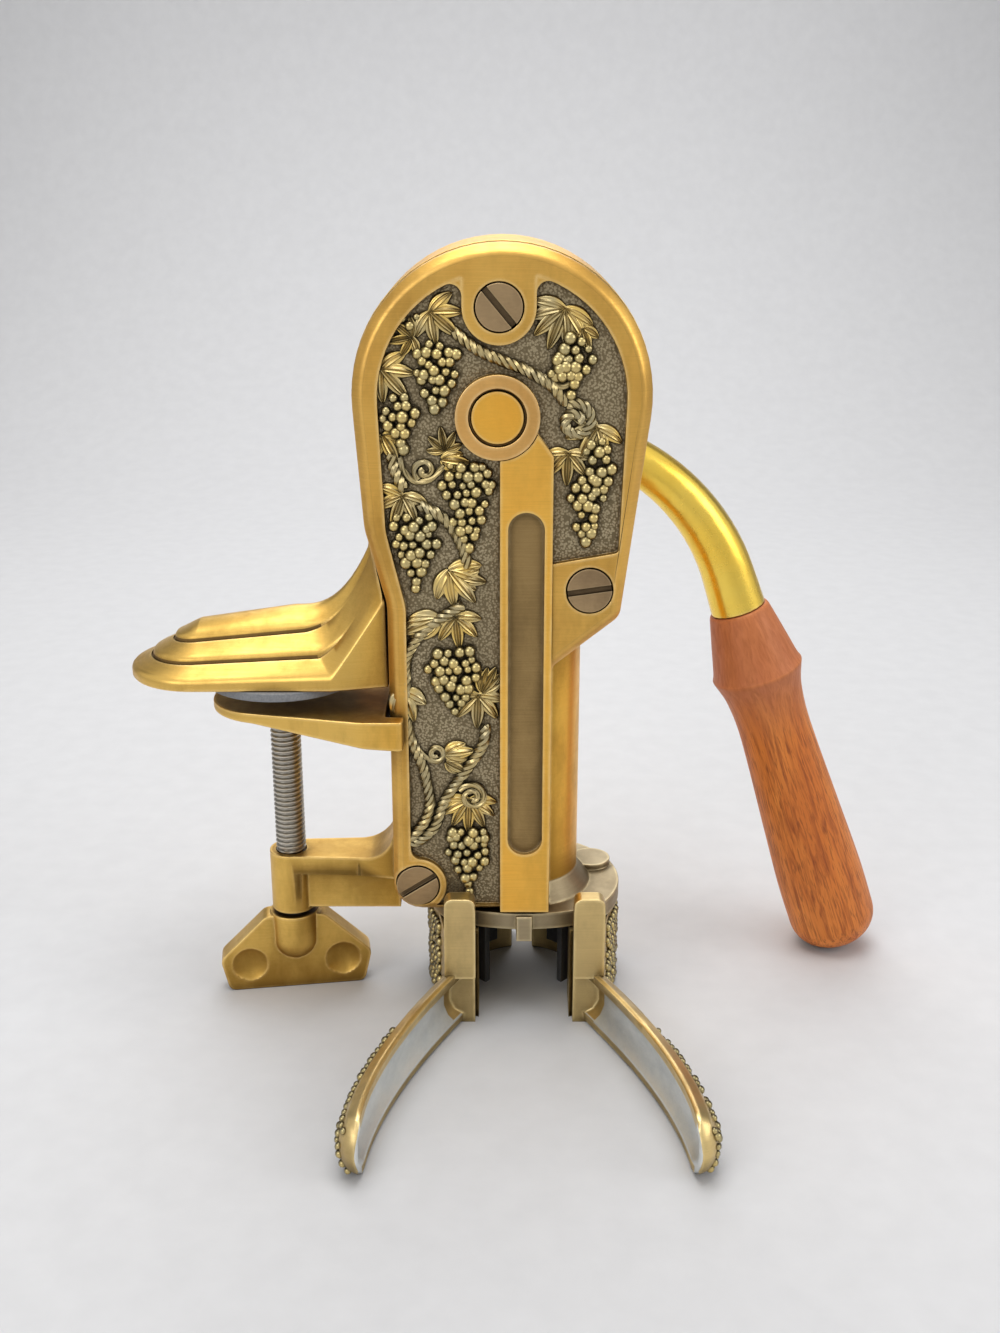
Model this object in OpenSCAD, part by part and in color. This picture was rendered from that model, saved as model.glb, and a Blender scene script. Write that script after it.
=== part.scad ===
// Countertop corkscrew with a lever drive, two neck grips and a counter clamp.
// Millimetres. Z is up, X points to the lever's side and the cover faces -Y.
// The origin is on the worm's axis, at the mouth of the bell.

/* [Housing] */
// Height of the lever's axis above the bell's mouth
hub_z = 184.5; // [182:0.5:190]
// Distance of the lever's axis to the left of the worm's axis
hub_offset = 9.5; // [8.5:0.5:10.5]
// Radius of the housing's domed head
dome_r = 48.5; // [48:0.5:52]
// Distance from the worm's axis to the leg's left edge
leg_w = 46.7; // [46:0.1:49]
// Distance from the worm's axis to the cover's front face
front_d = 30; // [30:0.5:33]
// Distance from the worm's axis to the housing's back face
back_d = 16; // [15:0.5:18]
// Thickness of the cover plate
cover_t = 9; // [8:0.5:9]
// Wall of the housing
wall = 3.6; // [3:0.1:4]
// Depth of the cover's pebbled panel
panel_depth = 2.5; // [1.5:0.1:3]
// Width of the rib below the hub ring
rib_w = 17.4; // [16:0.2:19]
// Diameter of the hub ring
ring_d = 27.5; // [25:0.5:30]
// Diameter of the slotted cover screws' heads
screw_head_d = 15; // [13:0.5:16]

/* [Bell] */
// Radius of the barrel
barrel_r = 20; // [19.6:0.1:20.6]
// Radius of the socket for the bottle's lip
neck_r = 16.5; // [15.5:0.1:17]
// Depth of the socket
neck_depth = 14; // [12:0.5:15]
// Thickness of the bell's flange
flange_t = 6.3; // [5:0.1:7]
// Radius of the bell's flange
flange_r = 36; // [34:0.5:37]

/* [Drive] */
// Module of the rack and pinion
gear_module = 1.5; // [1.4:0.05:1.55]
// Teeth on the pinion
gear_teeth = 18; // [17:1:18]
// Width of the pinion's teeth
gear_w = 10; // [8:0.5:10]
// Swing of the lever, in degrees
lever_swing = 180; // [150:5:180]
// Diameter of the gear shaft
shaft_d = 17; // [15:0.5:18]
// Lead of the worm and of its fluted shank
worm_lead = 10; // [9:0.5:12]
// Diameter of the worm's wire
worm_wire_d = 3.2; // [2.8:0.1:3.6]
// Length of the worm's coiled part
worm_coil_l = 52; // [45:1:55]

/* [Lever] */
// Slope of the arm where it leaves the hub, in degrees
arm_slope = 26.2; // [20:0.2:30]
// Straight length from the lever's axis to the bend
arm_straight = 50.9; // [48:0.1:60]
// Radius of the arm's bend
arm_bend_r = 78.6; // [70:0.2:90]
// Lean of the wooden handle from the vertical, in degrees
handle_lean = 19; // [15:0.5:24]
// Length of the wooden handle
handle_l = 146; // [120:1:150]
// Widest diameter of the wooden handle
handle_d = 34.5; // [30:0.5:36]

/* [Grips] */
// Height of the bell's mouth above the surface that the corkscrew stands on
stand_h = 36; // [34:0.5:40]
// Radius of the neck space between the jaws
jaw_r = 21.5; // [21:0.1:22.5]
// Outer radius of the jaws
jaw_outer_r = 34.5; // [34:0.5:36]
// Sideways distance of each grip's pin from the worm's axis
pin_x = 26; // [25:0.5:27]
// Distance of the pins behind the worm's axis
pin_y = 12; // [10:0.5:14]
// Diameter of the grip pins
pin_d = 5; // [4:0.5:5]
// Height of the grip handles
grip_h = 22; // [18:0.5:26]

/* [Clamp] */
// Distance of the clamp screw to the left of the worm's axis
clamp_x = 86.4; // [82:0.2:90]
// Distance of the clamp screw in front of the worm's axis
clamp_y = 4; // [2:0.5:6]
// Diameter of the clamp screw
clamp_screw_d = 11; // [10:0.5:12]
// Height of the shoe's underside
shoe_z = 90.6; // [88:0.2:96]
// Length of the shoe from the leg's side
shoe_l = 92; // [80:1:100]
// Width of the shoe
shoe_w = 50; // [44:1:54]
// Thickness of the shoe's lowest tier
tier_t = 5; // [4:0.5:7]
// Diameter of the pad under the shoe
pad_d = 54; // [40:1:56]
// Thickness of the pad
pad_t = 3; // [2:0.5:4]
// Gap between the pad and the closed jaw
clamp_gap = 5.3; // [4.5:0.1:8]
// Width of the wing knob
wing_w = 57; // [46:1:64]
// Thickness of the wing knob
wing_t = 9; // [7:0.5:11]

/* [Hidden] */
$fn = 64;

// Clearances
snug = 0.03;
running = 0.06;
free_gap = 0.4;
slide_gap = 0.35;
bolt_gap = 0.2;
seat_gap = 0.1;

// Housing
hub = [-hub_offset, hub_z];
dome = [-8, hub_z + 5.5];
dome_top = dome[1] + dome_r;
left_taper = 4;
right_taper = 7.2;
joint_d = front_d - cover_t;
back_wall = 6;
casting_lip = 0.4;
foot_z = flange_t + 0.5;
shoulder_low = hub_z - 63.5;
shoulder_high = hub_z - 37.5;
cheek_z = hub_z - 67.6;
cheek_slope = 38.5;
cheek_x = right_edge(cheek_z, dome_r, right_taper);
cheek_foot = cheek_z - (cheek_x - rib_w / 2) * tan(cheek_slope);
HOUSE = [
  [-leg_w, foot_z, 10],
  [rib_w / 2, foot_z, 0.8],
  [rib_w / 2, cheek_foot, 5],
  [cheek_x, cheek_z, 6],
  [right_edge(dome_top, dome_r, right_taper), dome_top, dome_r],
  [left_edge(dome_top, dome_r, left_taper), dome_top, dome_r],
  [left_edge(shoulder_high, dome_r, left_taper), shoulder_high, 25],
  [-leg_w, shoulder_low, 18]
];
casting_side = leg_w + casting_lip;

// Cover
bevel = 4;
edge_in = 2;
edge_drop = 1.1;
rib_drop = 12.5;
rib_lean = 6;
rim = 8.5;
leg_rim = 6.5;
panel_r = dome_r - rim;
panel_top = dome[1] + panel_r;
panel_cheek = hub_z - 44.7;
panel_left_taper = 2.35;
panel_right_taper = 1.85;
PANEL = [
  [-leg_w + leg_rim, foot_z + 2.7, 1.5],
  [0, foot_z + 2.7, 0.5],
  [0, panel_cheek - 5.4, 0.5],
  [right_edge(panel_cheek, panel_r, panel_right_taper), panel_cheek, 1.5],
  [right_edge(panel_top, panel_r, panel_right_taper), panel_top, panel_r],
  [left_edge(panel_top, panel_r, panel_left_taper), panel_top, panel_r],
  [left_edge(shoulder_high, panel_r, panel_left_taper), shoulder_high, 22],
  [-leg_w + leg_rim, shoulder_low, 20]
];
ring_rise = 1.2;
rib_slot_w = 12;
rib_slot_low = 36;
rib_slot_high = hub_z - 37;
// Cover screws: x, z and the angle of the slot
SCREWS = [
  [dome[0] - 1, dome_top - 19.5, -50],
  [cheek_x - 10.5, cheek_z + 10, 8],
  [-leg_w + 8.7, foot_z + 10.8, 33]
];
post_r = 5;
cover_shank_r = 3;
head_t = 3.8;
head_rise = 0.3;
tongue_r = screw_head_d / 2 + 4.3;

// Bell and barrel
guide_wall = 1.9;
guide_top = 2;
guide_r = neck_r + guide_wall;
guide_z = neck_depth + guide_top;
web_t = 4;
worm_way_r = 8;
flare_h = 7;
flange_front_r = 60;
tab_w = 5.7;
bore_r = barrel_r - 5.5;
pin_boss_r = 7.5;
pin_boss_h = 2.2;
pin_z = flange_t + 0.8;

// Drive
pitch_r = gear_module * gear_teeth / 2;
rack_pitch = PI * gear_module;
pressure = 20;
backlash = 0.1;
addendum = gear_module;
dedendum = 1.25 * gear_module;
stroke = pitch_r * lever_swing * PI / 180;
gear_front = joint_d - 1.5;
gear_back = gear_front - gear_w;
rack_x = hub[0] - pitch_r;
rack_back = rack_x - 10;
rack_top = hub_z + stroke + 1.2;
rack_low_teeth = 3;
cross_t = 12;
cross_top = hub_z - pitch_r - addendum - 6.5;
cross_low = cross_top - cross_t;
cross_side = 10;
cross_back = back_d - back_wall - 1;
rail_w = 4.3;
clip_t = 1.4;
washer_t = 1.2;
barrel_top = cross_low - stroke - 4.6;
nut_r = 9;
nut_h = 10;
nut_floor = 6;
retainer_t = 1.6;
retainer_r = 13.6;
retainer_pcr = 11.2;
retainer_screw_r = 1.5;

// Worm
worm_tip = neck_depth + 1;
coil_r = 3.4;
coil_top = worm_tip + worm_coil_l;
shank_r = 4;
flute_out = 5;
flute_in = 3.9;
flutes = 4;
flute_gap = 0.35;
flute_low = barrel_top - nut_h - 6;
flute_high = cross_low - clip_t - free_gap - 1;
worm_head_r = 8;
worm_head_t = 3.8;

// Lever
lever_front = back_d + 1.4;
eye_w = 17;
eye_r = 14.5;
lever_y = lever_front + eye_w / 2;
square_w = shaft_d * 0.676;
arm_root_r = 7.25;
arm_end_r = 10.2;
arm_tail = 13.5;
arm_turn = 90 - handle_lean - arm_slope;
arm_bend_start = hub + arm_straight * [cos(arm_slope), -sin(arm_slope)];
arm_centre = arm_bend_start - arm_bend_r * [sin(arm_slope), cos(arm_slope)];
arm_bend_end = arm_centre + arm_bend_r * [cos(handle_lean), sin(handle_lean)];
handle_way = [sin(handle_lean), -cos(handle_lean)];
handle_top = arm_bend_end + arm_tail * handle_way;
stud_r = 4;
stud_in_arm = 16;
stud_in_wood = 38;
handle_end_r = 12;

// Grips
jaw_top = -0.5;
jaw_low = -stand_h;
jaw_split = 4;
jaw_mouth = 16.5;
knuckle_r = 8.5;
pocket_r = 5.2;
pocket_low = -14;
pin_head_r = 4.5;
pin_head_t = 2.3;
ear_w = 11;
ear_x = 17.5;
ear_back = -front_d - 2.4;
ear_front = ear_back - 6.4;
ear_top = 16.5;
ear_low = -15;
ear_root = 1.2;
ear_corner = 2.8;
jaw_pad_t = 2.4;
GRIP_ROUTE = [[-22, -30], [-49.75, -82], [-52.5, -118]];
grip_tip_l = 9;
grip_rings = 12;
grip_rim = 3.4;
grip_hollow = 4.6;
spring_r = 3.7;
spring_wire_r = 0.55;
spring_step = 1.65;
spring_turns = 5;

// Clamp
clamp = [-clamp_x, -clamp_y];
jaw_face = shoe_z - pad_t - clamp_gap;
neck_half = 20;
tier_rise = 5.6;
tier_inset = 8;
TIER_STEP = [[-0.4, -1.6], [0, 0], [1.2, 0.8]];
shoe_side = casting_side + seat_gap;
shoe_tip = -shoe_side - shoe_l;
crown = tier_t + 2 * tier_rise + 4.2;
shoe_lean = 0.1;
shoe_corner = 19;
corner_step = 0.68;
neck_step = 1.1;
flank_steps = 8;
gusset_rise = 27;
gusset_foot = 19.8;
gusset_crest = 1.2;
SHOE_STEPS = concat(
  [[0, 0], [0, tier_t - 2], [1.2, tier_t - 0.6]],
  [for (k = [1, 2], s = TIER_STEP) [k * tier_inset + s[0], tier_t - 1 + k * tier_rise + s[1]]],
  [[2.5 * tier_inset, crown - 1.8], [shoe_w / 2 - 1, crown]]);
shoe_bolt_r = 2.5;
shoe_bolt_head_r = 4.2;
shoe_bolt_head_t = 4;
shoe_bolt_z = shoe_z + tier_t + 2;
shoe_bolt_l = 16;
rail_low = shoe_bolt_z + shoe_bolt_head_r + 2;
SHOE_BOLT_Y = [-clamp_y - 9, -clamp_y + 9];
tongue_end = 24;
tongue_half = 20;
prong_t = 6;
prong_reach = 5;
clamp_jaw_t = 3;
clamp_jaw_root_t = 10.6;
jaw_boss_r = 9;
jaw_boss_h = 7.2;
rivet_neck_r = 4;
rivet_head_r = 5.2;
rivet_head_h = 1.6;
rivet_sink = 1;
bracket_top = 20;
bracket_low = -3.5;
bracket_r = 8;
bracket_flange_t = 7;
bracket_fillet = 12;
bracket_half = 9;
wing_top = -5;
wing_low = -stand_h;
wing_turn = 8.5;
wing_hub_r = 9;
wing_hub_l = 11;
dimple_r = 6.85;
dimple_depth = 2.4;

// Edges of the head: the side lines lie on the dome and lean in by a taper
function left_edge(z, r, a) = dome[0] - (r + (z - dome[1]) * sin(a)) / cos(a);
function right_edge(z, r, a) = dome[0] + (r + (z - dome[1]) * sin(a)) / cos(a);

// Paths with rounded corners, each point is x, y and a radius
function unit(v) = v / norm(v);
function side(v) = [-v[1], v[0]];
function flat(p) = [p[0], p[1]];
function turned(v, a) = [v[0] * cos(a) - v[1] * sin(a), v[0] * sin(a) + v[1] * cos(a)];
function meet(p, u, q, w) = p + u * cross(q - p, w) / cross(u, w);
function way(path, i) = unit(flat(path[(i + 1) % len(path)]) - flat(path[i]));
function corner(path, i, inset) =
  let (u = way(path, (i + len(path) - 1) % len(path)),
       w = way(path, i),
       p = meet(flat(path[i]) + inset * side(u), u, flat(path[i]) + inset * side(w), w),
       turn = atan2(cross(u, w), u * w),
       r = max(0.2, path[i][2] - sign(turn) * inset),
       start = p - u * r * tan(abs(turn) / 2),
       centre = start + side(u) * r * sign(turn),
       steps = path[i][2] > 15 ? 18 : 6)
  [for (k = [0:steps]) centre + turned(start - centre, turn * k / steps)];
function spaced(points) =
  [for (i = [0:len(points) - 1])
    if (norm(points[i] - points[(i + len(points) - 1) % len(points)]) > 0.02) points[i]];
function outline(path, inset = 0) =
  spaced([for (i = [0:len(path) - 1]) each corner(path, i, inset)]);

// Tubes: a ring of points square to a path
function ring(p, t, up, r, n) =
  let (a = unit(cross(t, up)), b = cross(t, a))
  [for (k = [0:n - 1]) p + r * (cos(360 * k / n) * a + sin(360 * k / n) * b)];

// Triangles that fill a channel-shaped ring, zipped from its first point to its middle
function channel_cap(n) =
  let (m = floor(n / 2))
  concat([for (i = [0:m - 2]) each [[i, i + 1, n - 2 - i], [i, n - 2 - i, n - 1 - i]]],
         n % 2 == 1 ? [[m - 1, m, m + 1]] : []);

// Solid through rings with the same number of points, from the first ring to the last
module skin(rings, channel = false) {
  n = len(rings[0]);
  last = (len(rings) - 1) * n;
  caps = channel ? channel_cap(n) : [[for (i = [0:n - 1]) i]];
  sides = [for (k = [0:len(rings) - 2], i = [0:n - 1])
    let (a = k * n + i, b = k * n + (i + 1) % n)
    each [[a, a + n, b + n], [a, b + n, b]]];
  polyhedron(
    points = [for (r = rings) each r],
    faces = concat(caps, sides, [for (c = caps) [for (i = [len(c) - 1:-1:0]) last + c[i]]]));
}

// Solid band through rings that close on themselves both ways
module band(rings) {
  n = len(rings[0]);
  m = len(rings);
  polyhedron(
    points = [for (r = rings) each r],
    faces = [for (k = [0:m - 1], i = [0:n - 1])
      let (a = k * n + i, b = k * n + (i + 1) % n, up = (k + 1) % m * n - k * n)
      each [[a, a + up, b + up], [a, b + up, b]]]);
}

// An outline in X and Z, drawn out from y0 at the front to y1 at the back
module slab(y0, y1) {
  translate([0, y1, 0])
    rotate([90, 0, 0])
      linear_extrude(y1 - y0)
        children();
}

// A round bar along Y at x, z
module bar_y(p, r, y0, y1) {
  translate([p[0], y1, p[1]])
    rotate([90, 0, 0])
      cylinder(r = r, h = y1 - y0);
}

// A round bar along Z at x, y
module bar_z(p, r, z0, z1) {
  translate([p[0], p[1], z0])
    cylinder(r = r, h = z1 - z0);
}

module housing_shell() {
  difference() {
    slab(-joint_d, back_d) polygon(outline(HOUSE, -casting_lip));
    slab(-joint_d - 1, back_d - back_wall) polygon(outline(HOUSE, wall));
  }
}

module flange() {
  intersection() {
    cylinder(r = flange_r, h = flange_t);
    translate([0, flange_front_r - front_d, -1])
      cylinder(r = flange_front_r, h = flange_t + 2, $fn = 128);
  }
  translate([-tab_w / 2, -front_d - 1.5, -4])
    cube([tab_w, 6, flange_t + 3.4]);
  bar_z([0, 0], barrel_r, 1, barrel_top);
  translate([0, 0, flange_t - 0.1])
    cylinder(r1 = barrel_r + 5, r2 = barrel_r - 0.2, h = flare_h);
  for (s = [-1, 1])
    bar_z([s * pin_x, pin_y], pin_boss_r, flange_t - 1, flange_t + pin_boss_h);
}

// Top of the barrel where it runs into the cheek
module barrel_shoulder() {
  intersection() {
    bar_z([0, 0], barrel_r, barrel_top - 8, cheek_z - 3);
    translate([cross_side + 1, -barrel_r, 0])
      cube([barrel_r, 2 * barrel_r, hub_z]);
  }
}

module bracket() {
  difference() {
    intersection() {
      slab(-clamp_y - 2 * bracket_half, -clamp_y + 2 * bracket_half)
        polygon(outline([
          [-clamp_x, bracket_top - bracket_flange_t, 0.3],
          [-leg_w, bracket_top - bracket_flange_t, 0.3],
          [-leg_w, bracket_top + 13, 0.3],
          [-leg_w - 3.6, bracket_top, bracket_fillet],
          [-clamp_x, bracket_top, 0.3]
        ]));
      translate([0, 0, bracket_low])
        linear_extrude(2 * bracket_top)
          polygon(outline([
            [-clamp_x, -clamp_y - bracket_r + 0.3, 0.3],
            [-clamp_x + 26, -clamp_y - bracket_half, 8],
            [-leg_w + 1, -clamp_y - bracket_half - 3, 0.3],
            [-leg_w + 1, -clamp_y + bracket_half + 3, 0.3],
            [-clamp_x + 26, -clamp_y + bracket_half, 8],
            [-clamp_x, -clamp_y + bracket_r - 0.3, 0.3]
          ]));
    }
  }
  translate([-clamp_x, -clamp_y - bracket_half + 4, bracket_low + 1.5])
    cube([clamp_x - leg_w + 1, 2 * bracket_half - 8, bracket_top - bracket_low - 4]);
  bar_z(clamp, bracket_r, bracket_low, bracket_top);
}

module main_casting() {
  color("darkgoldenrod")
    difference() {
      union() {
        housing_shell();
        flange();
        barrel_shoulder();
        bracket();
        translate([-flange_r + 7, -joint_d + 3, 2])
          cube([flange_r + rib_w / 2 - 7.5, joint_d + back_d - 5, foot_z + 2]);
        for (s = SCREWS)
          bar_y(s, post_r, -joint_d, back_d - 1);
        translate([rack_back - slide_gap - rail_w, -joint_d + 1.5, rail_low])
          cube([rail_w, joint_d + back_d - back_wall - 1, rack_top - 14 - rail_low]);
        bar_y(hub, eye_r, back_d - 3, back_d + 1);
      }
      slab(-front_d - wall, -joint_d) polygon(outline(HOUSE, -casting_lip));
      bar_z([0, 0], guide_r + snug, -1, guide_z);
      bar_z([0, 0], worm_way_r, guide_z - 1, guide_z + web_t + 1);
      bar_z([0, 0], bore_r, guide_z + web_t, barrel_top - nut_h - nut_floor);
      bar_z([0, 0], retainer_r + free_gap, barrel_top, barrel_top + 4.2);
      bar_z([0, 0], nut_r - 2.3, barrel_top - nut_h - nut_floor - 1, barrel_top + 1);
      bar_z([0, 0], nut_r + snug, barrel_top - nut_h, barrel_top + 1);
      for (s = [-1, 1])
        bar_z([0, s * retainer_pcr], retainer_screw_r + snug, barrel_top - 7, barrel_top + 1);
      bar_y(hub, shaft_d / 2 + running, back_d - back_wall - 1, back_d + 2);
      for (s = SCREWS)
        bar_y(s, cover_shank_r + snug, -joint_d - 1, back_d - 8);
      for (s = [-1, 1])
        bar_z([s * pin_x, pin_y], pin_d / 2 + snug, -1, pin_z);
      for (y = SHOE_BOLT_Y)
        translate([-casting_side - free_gap, y, shoe_bolt_z])
          rotate([0, 90, 0])
            cylinder(r = shoe_bolt_r + bolt_gap, h = 2 * wall);
      bar_z(clamp, clamp_screw_d / 2 + running, bracket_low - 1, bracket_top + 1);
    }
}

module panel_recess() {
  difference() {
    slab(-front_d - 1, -front_d + panel_depth) polygon(outline(PANEL));
    slab(-front_d - 2, -front_d + panel_depth + 2)
      polygon(outline([
        [-rib_w / 2, 0, 0.3],
        [rib_w / 2, 0, 0.3],
        [rib_w / 2, hub_z - rib_drop, 5],
        [rib_w / 2 - rib_lean, hub_z - 4, 0.3],
        [-rib_w / 2, hub_z - 4, 0.3]
      ]));
    bar_y(hub, ring_d / 2, -front_d - 2, -front_d + panel_depth + 1);
    bar_y(SCREWS[0], tongue_r, -front_d - 2, -front_d + panel_depth + 1);
    translate([SCREWS[0][0] - tongue_r, -front_d - 2, SCREWS[0][1]])
      cube([2 * tongue_r, panel_depth + 4, dome_r]);
    bar_y(SCREWS[2], tongue_r - 1.5, -front_d - 2, -front_d + panel_depth + 1);
  }
}

// Long slot with round ends in the rib's face
module rib_slot() {
  for (z = [rib_slot_low, rib_slot_high])
    bar_y([0, z], rib_slot_w / 2, -front_d - 1, -front_d + 1.2);
  translate([-rib_slot_w / 2, -front_d - 1, rib_slot_low])
    cube([rib_slot_w, 2.2, rib_slot_high - rib_slot_low]);
}

// Cut that slopes the cover's front edge in two steps, drawn a little past both faces
module edge_cut() {
  fall = bevel - edge_drop;
  section = [
    [-0.5, bevel + fall / 4],
    [-0.5, -1],
    [bevel + 0.6, -1],
    [bevel + 0.6, -0.6 * edge_drop / (bevel - edge_in)],
    [edge_in, edge_drop]
  ];
  band([for (k = section) [for (p = outline(HOUSE, k[0])) [p[0], -front_d + k[1], p[1]]]]);
}

module cover_plate() {
  color("darkgoldenrod")
    difference() {
      union() {
        difference() {
          slab(-front_d, -joint_d) polygon(outline(HOUSE));
          edge_cut();
          panel_recess();
          rib_slot();
        }
        bar_y(hub, ring_d / 2, -front_d - ring_rise, -front_d + panel_depth + 1);
      }
      bar_y(hub, shaft_d / 2 + running, -front_d - 3, -joint_d + 1);
      bar_y(hub, shaft_d / 2 + 0.9, -front_d - 3, -front_d + 1);
      for (s = SCREWS) {
        bar_y(s, screw_head_d / 2 + free_gap, -front_d - 1, -front_d + head_t - head_rise);
        bar_y(s, cover_shank_r + 0.3, -front_d, -joint_d + 1);
      }
    }
}

module cover_screws() {
  slot_w = 2;
  slot_depth = 1.6;
  color("saddlebrown")
    for (s = SCREWS)
      difference() {
        union() {
          bar_y(s, screw_head_d / 2, -front_d - head_rise, -front_d + head_t - head_rise);
          bar_y(s, cover_shank_r, -front_d + 1, back_d - 10);
        }
        translate([s[0], -front_d - head_rise, s[1]])
          rotate([0, -s[2], 0])
            cube([screw_head_d + 2, 2 * slot_depth, slot_w], center = true);
      }
}

// Plan of the shoe drawn in by an inset: back flank, round tip and front flank
function shoe_plan(inset) =
  let (half = shoe_w / 2 - inset,
       neck = [-leg_w + 2, max(0.4, neck_half - neck_step * inset)],
       bend = [-shoe_side - shoe_corner - corner_step * inset, half],
       flank = [for (k = [0:flank_steps]) neck + (bend - neck) * k / flank_steps])
  concat(
    flank,
    [for (a = [90:11.25:270]) [shoe_tip + shoe_w / 2 + half * cos(a), half * sin(a)]],
    [for (k = [flank_steps:-1:0]) [flank[k][0], -flank[k][1]]]);

// Rise of the shoe's top: it leans a little and then sweeps up to the housing, steeper towards its middle
function gusset(x, inset) =
  let (mid = min(1, inset / (2 * tier_inset)),
       foot = -shoe_side - gusset_foot - 13 * mid,
       crest = -shoe_side - gusset_crest - 3.6 * mid)
  gusset_rise * pow(max(0, min(1, (x - foot) / (crest - foot))), 1 + 1.6 * mid)
  + shoe_lean * mid * (min(x, foot) - shoe_tip - shoe_w / 2);

function shoe_ring(step) =
  [for (p = shoe_plan(step[0]))
    [p[0], p[1] - clamp_y, shoe_z + step[1] + (step[1] > 0 ? gusset(p[0], step[0]) : 0)]];

module clamp_shoe() {
  color("goldenrod")
    difference() {
      skin([for (step = SHOE_STEPS) shoe_ring(step)], true);
      slab(-front_d - shoe_w, back_d + shoe_w)
        polygon(outline(HOUSE, -casting_lip - seat_gap));
      for (y = SHOE_BOLT_Y)
        translate([-shoe_side - shoe_bolt_l - free_gap, y, shoe_bolt_z])
          rotate([0, 90, 0])
            cylinder(r = shoe_bolt_r + snug, h = shoe_bolt_l + wall);
    }
}

module shoe_bolts() {
  head_x = -leg_w + wall + snug;
  socket_r = 2;
  color("dimgray")
    for (y = SHOE_BOLT_Y)
      translate([head_x, y, shoe_bolt_z])
        rotate([0, 90, 0])
          difference() {
            union() {
              cylinder(r = shoe_bolt_head_r, h = shoe_bolt_head_t);
              translate([0, 0, -casting_side - head_x - shoe_bolt_l])
                cylinder(r = shoe_bolt_r, h = casting_side + head_x + shoe_bolt_l + 1);
            }
            translate([0, 0, shoe_bolt_head_t - 2])
              cylinder(r = socket_r, h = 3, $fn = 6);
          }
}

module shoe_pad() {
  color("slategray")
    bar_z(clamp, pad_d / 2, shoe_z - pad_t, shoe_z);
}

module neck_guide() {
  color("black")
    difference() {
      bar_z([0, 0], guide_r, 0, guide_z);
      bar_z([0, 0], neck_r, -1, neck_depth);
      bar_z([0, 0], worm_way_r, neck_depth - 1, guide_z + 1);
    }
}

// Section of the fluted shank, and of the nut's hole when it is grown
function flute_section(grow) =
  [for (k = [0:4 * flutes - 1])
    (grow + (flute_out + flute_in) / 2 + (flute_out - flute_in) / 2 * cos(90 * k))
      * [cos(90 * k / flutes), sin(90 * k / flutes)]];

// Flutes keep their phase with height, so the shank follows the nut along its lead
module fluted_bar(z0, z1, grow) {
  translate([0, 0, z0])
    rotate([0, 0, 360 * z0 / worm_lead])
      linear_extrude(z1 - z0, twist = -360 * (z1 - z0) / worm_lead,
                     slices = ceil(12 * (z1 - z0) / worm_lead), $fn = 16)
        polygon(flute_section(grow));
}

module worm_nut() {
  color("gold")
    difference() {
      bar_z([0, 0], nut_r, barrel_top - nut_h + snug, barrel_top - snug);
      fluted_bar(barrel_top - nut_h - 1, barrel_top + 1, flute_gap);
    }
}

module nut_retainer() {
  color("silver")
    difference() {
      bar_z([0, 0], retainer_r, barrel_top, barrel_top + retainer_t);
      bar_z([0, 0], flute_out + 1.5, barrel_top - 1, barrel_top + retainer_t + 1);
      for (s = [-1, 1])
        bar_z([0, s * retainer_pcr], retainer_screw_r + 0.2, barrel_top - 1,
              barrel_top + retainer_t + 1);
    }
}

module retainer_screws() {
  head_r = 2.2;
  head_h = 1.2;
  under_head = barrel_top + retainer_t + snug;
  color("dimgray")
    for (s = [-1, 1]) {
      bar_z([0, s * retainer_pcr], head_r, under_head, under_head + head_h);
      bar_z([0, s * retainer_pcr], retainer_screw_r, barrel_top - 6, under_head + 0.5);
    }
}

module grip_pins() {
  shoulder = jaw_low + 0.7 + pin_head_t;
  color("silver")
    for (s = [-1, 1]) {
      bar_z([s * pin_x, pin_y], pin_head_r, jaw_low + 0.7, shoulder);
      bar_z([s * pin_x, pin_y], pin_d / 2, shoulder - 0.5, pin_z - 0.2);
    }
}

// Coil round a grip's pin, a plain helix of wire
module grip_spring(x) {
  rings = spring_turns * 8;
  start_z = jaw_top - 1.2 - spring_turns * spring_step;
  echo(spring_self_gap = spring_step - 2 * spring_wire_r);
  skin([for (k = [0:rings])
    let (a = 360 * k / 8)
    ring([x + spring_r * cos(a), pin_y + spring_r * sin(a), start_z + spring_step * k / 8],
         unit([-sin(a), cos(a), spring_step / (2 * PI * spring_r)]), [0, 0, 1],
         spring_wire_r, 6)]);
}

module left_grip_spring() {
  color("gray") grip_spring(-pin_x);
}

module right_grip_spring() {
  color("gray") grip_spring(pin_x);
}

module gear_shaft() {
  color("peru")
    difference() {
      union() {
        bar_y(hub, shaft_d / 2, -front_d - 0.5, back_d + 1.2);
        translate([hub[0] - square_w / 2, back_d + 1, hub[1] - square_w / 2])
          cube([square_w, eye_w - 0.6, square_w]);
      }
      bar_y(hub, cover_shank_r + snug, back_d + 2, lever_front + eye_w);
    }
}

// Involute flank: half of a tooth's angle at radius r
base_r = pitch_r * cos(pressure);
function involute(a) = tan(a) * 180 / PI - a;
function half_tooth(r) =
  90 / gear_teeth + involute(pressure) - involute(acos(min(1, base_r / r)))
    - backlash / pitch_r * 90 / PI;
function tooth(a) =
  let (root = pitch_r - dedendum, tip = pitch_r + addendum, first = max(base_r, root + 0.1),
       rs = [for (k = [0:4]) first + (tip - first) * k / 4])
  concat(
    [root * [cos(a - half_tooth(first)), sin(a - half_tooth(first))]],
    [for (r = rs) r * [cos(a - half_tooth(r)), sin(a - half_tooth(r))]],
    [for (k = [4:-1:0]) rs[k] * [cos(a + half_tooth(rs[k])), sin(a + half_tooth(rs[k]))]],
    [root * [cos(a + half_tooth(first)), sin(a + half_tooth(first))]]);

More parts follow.
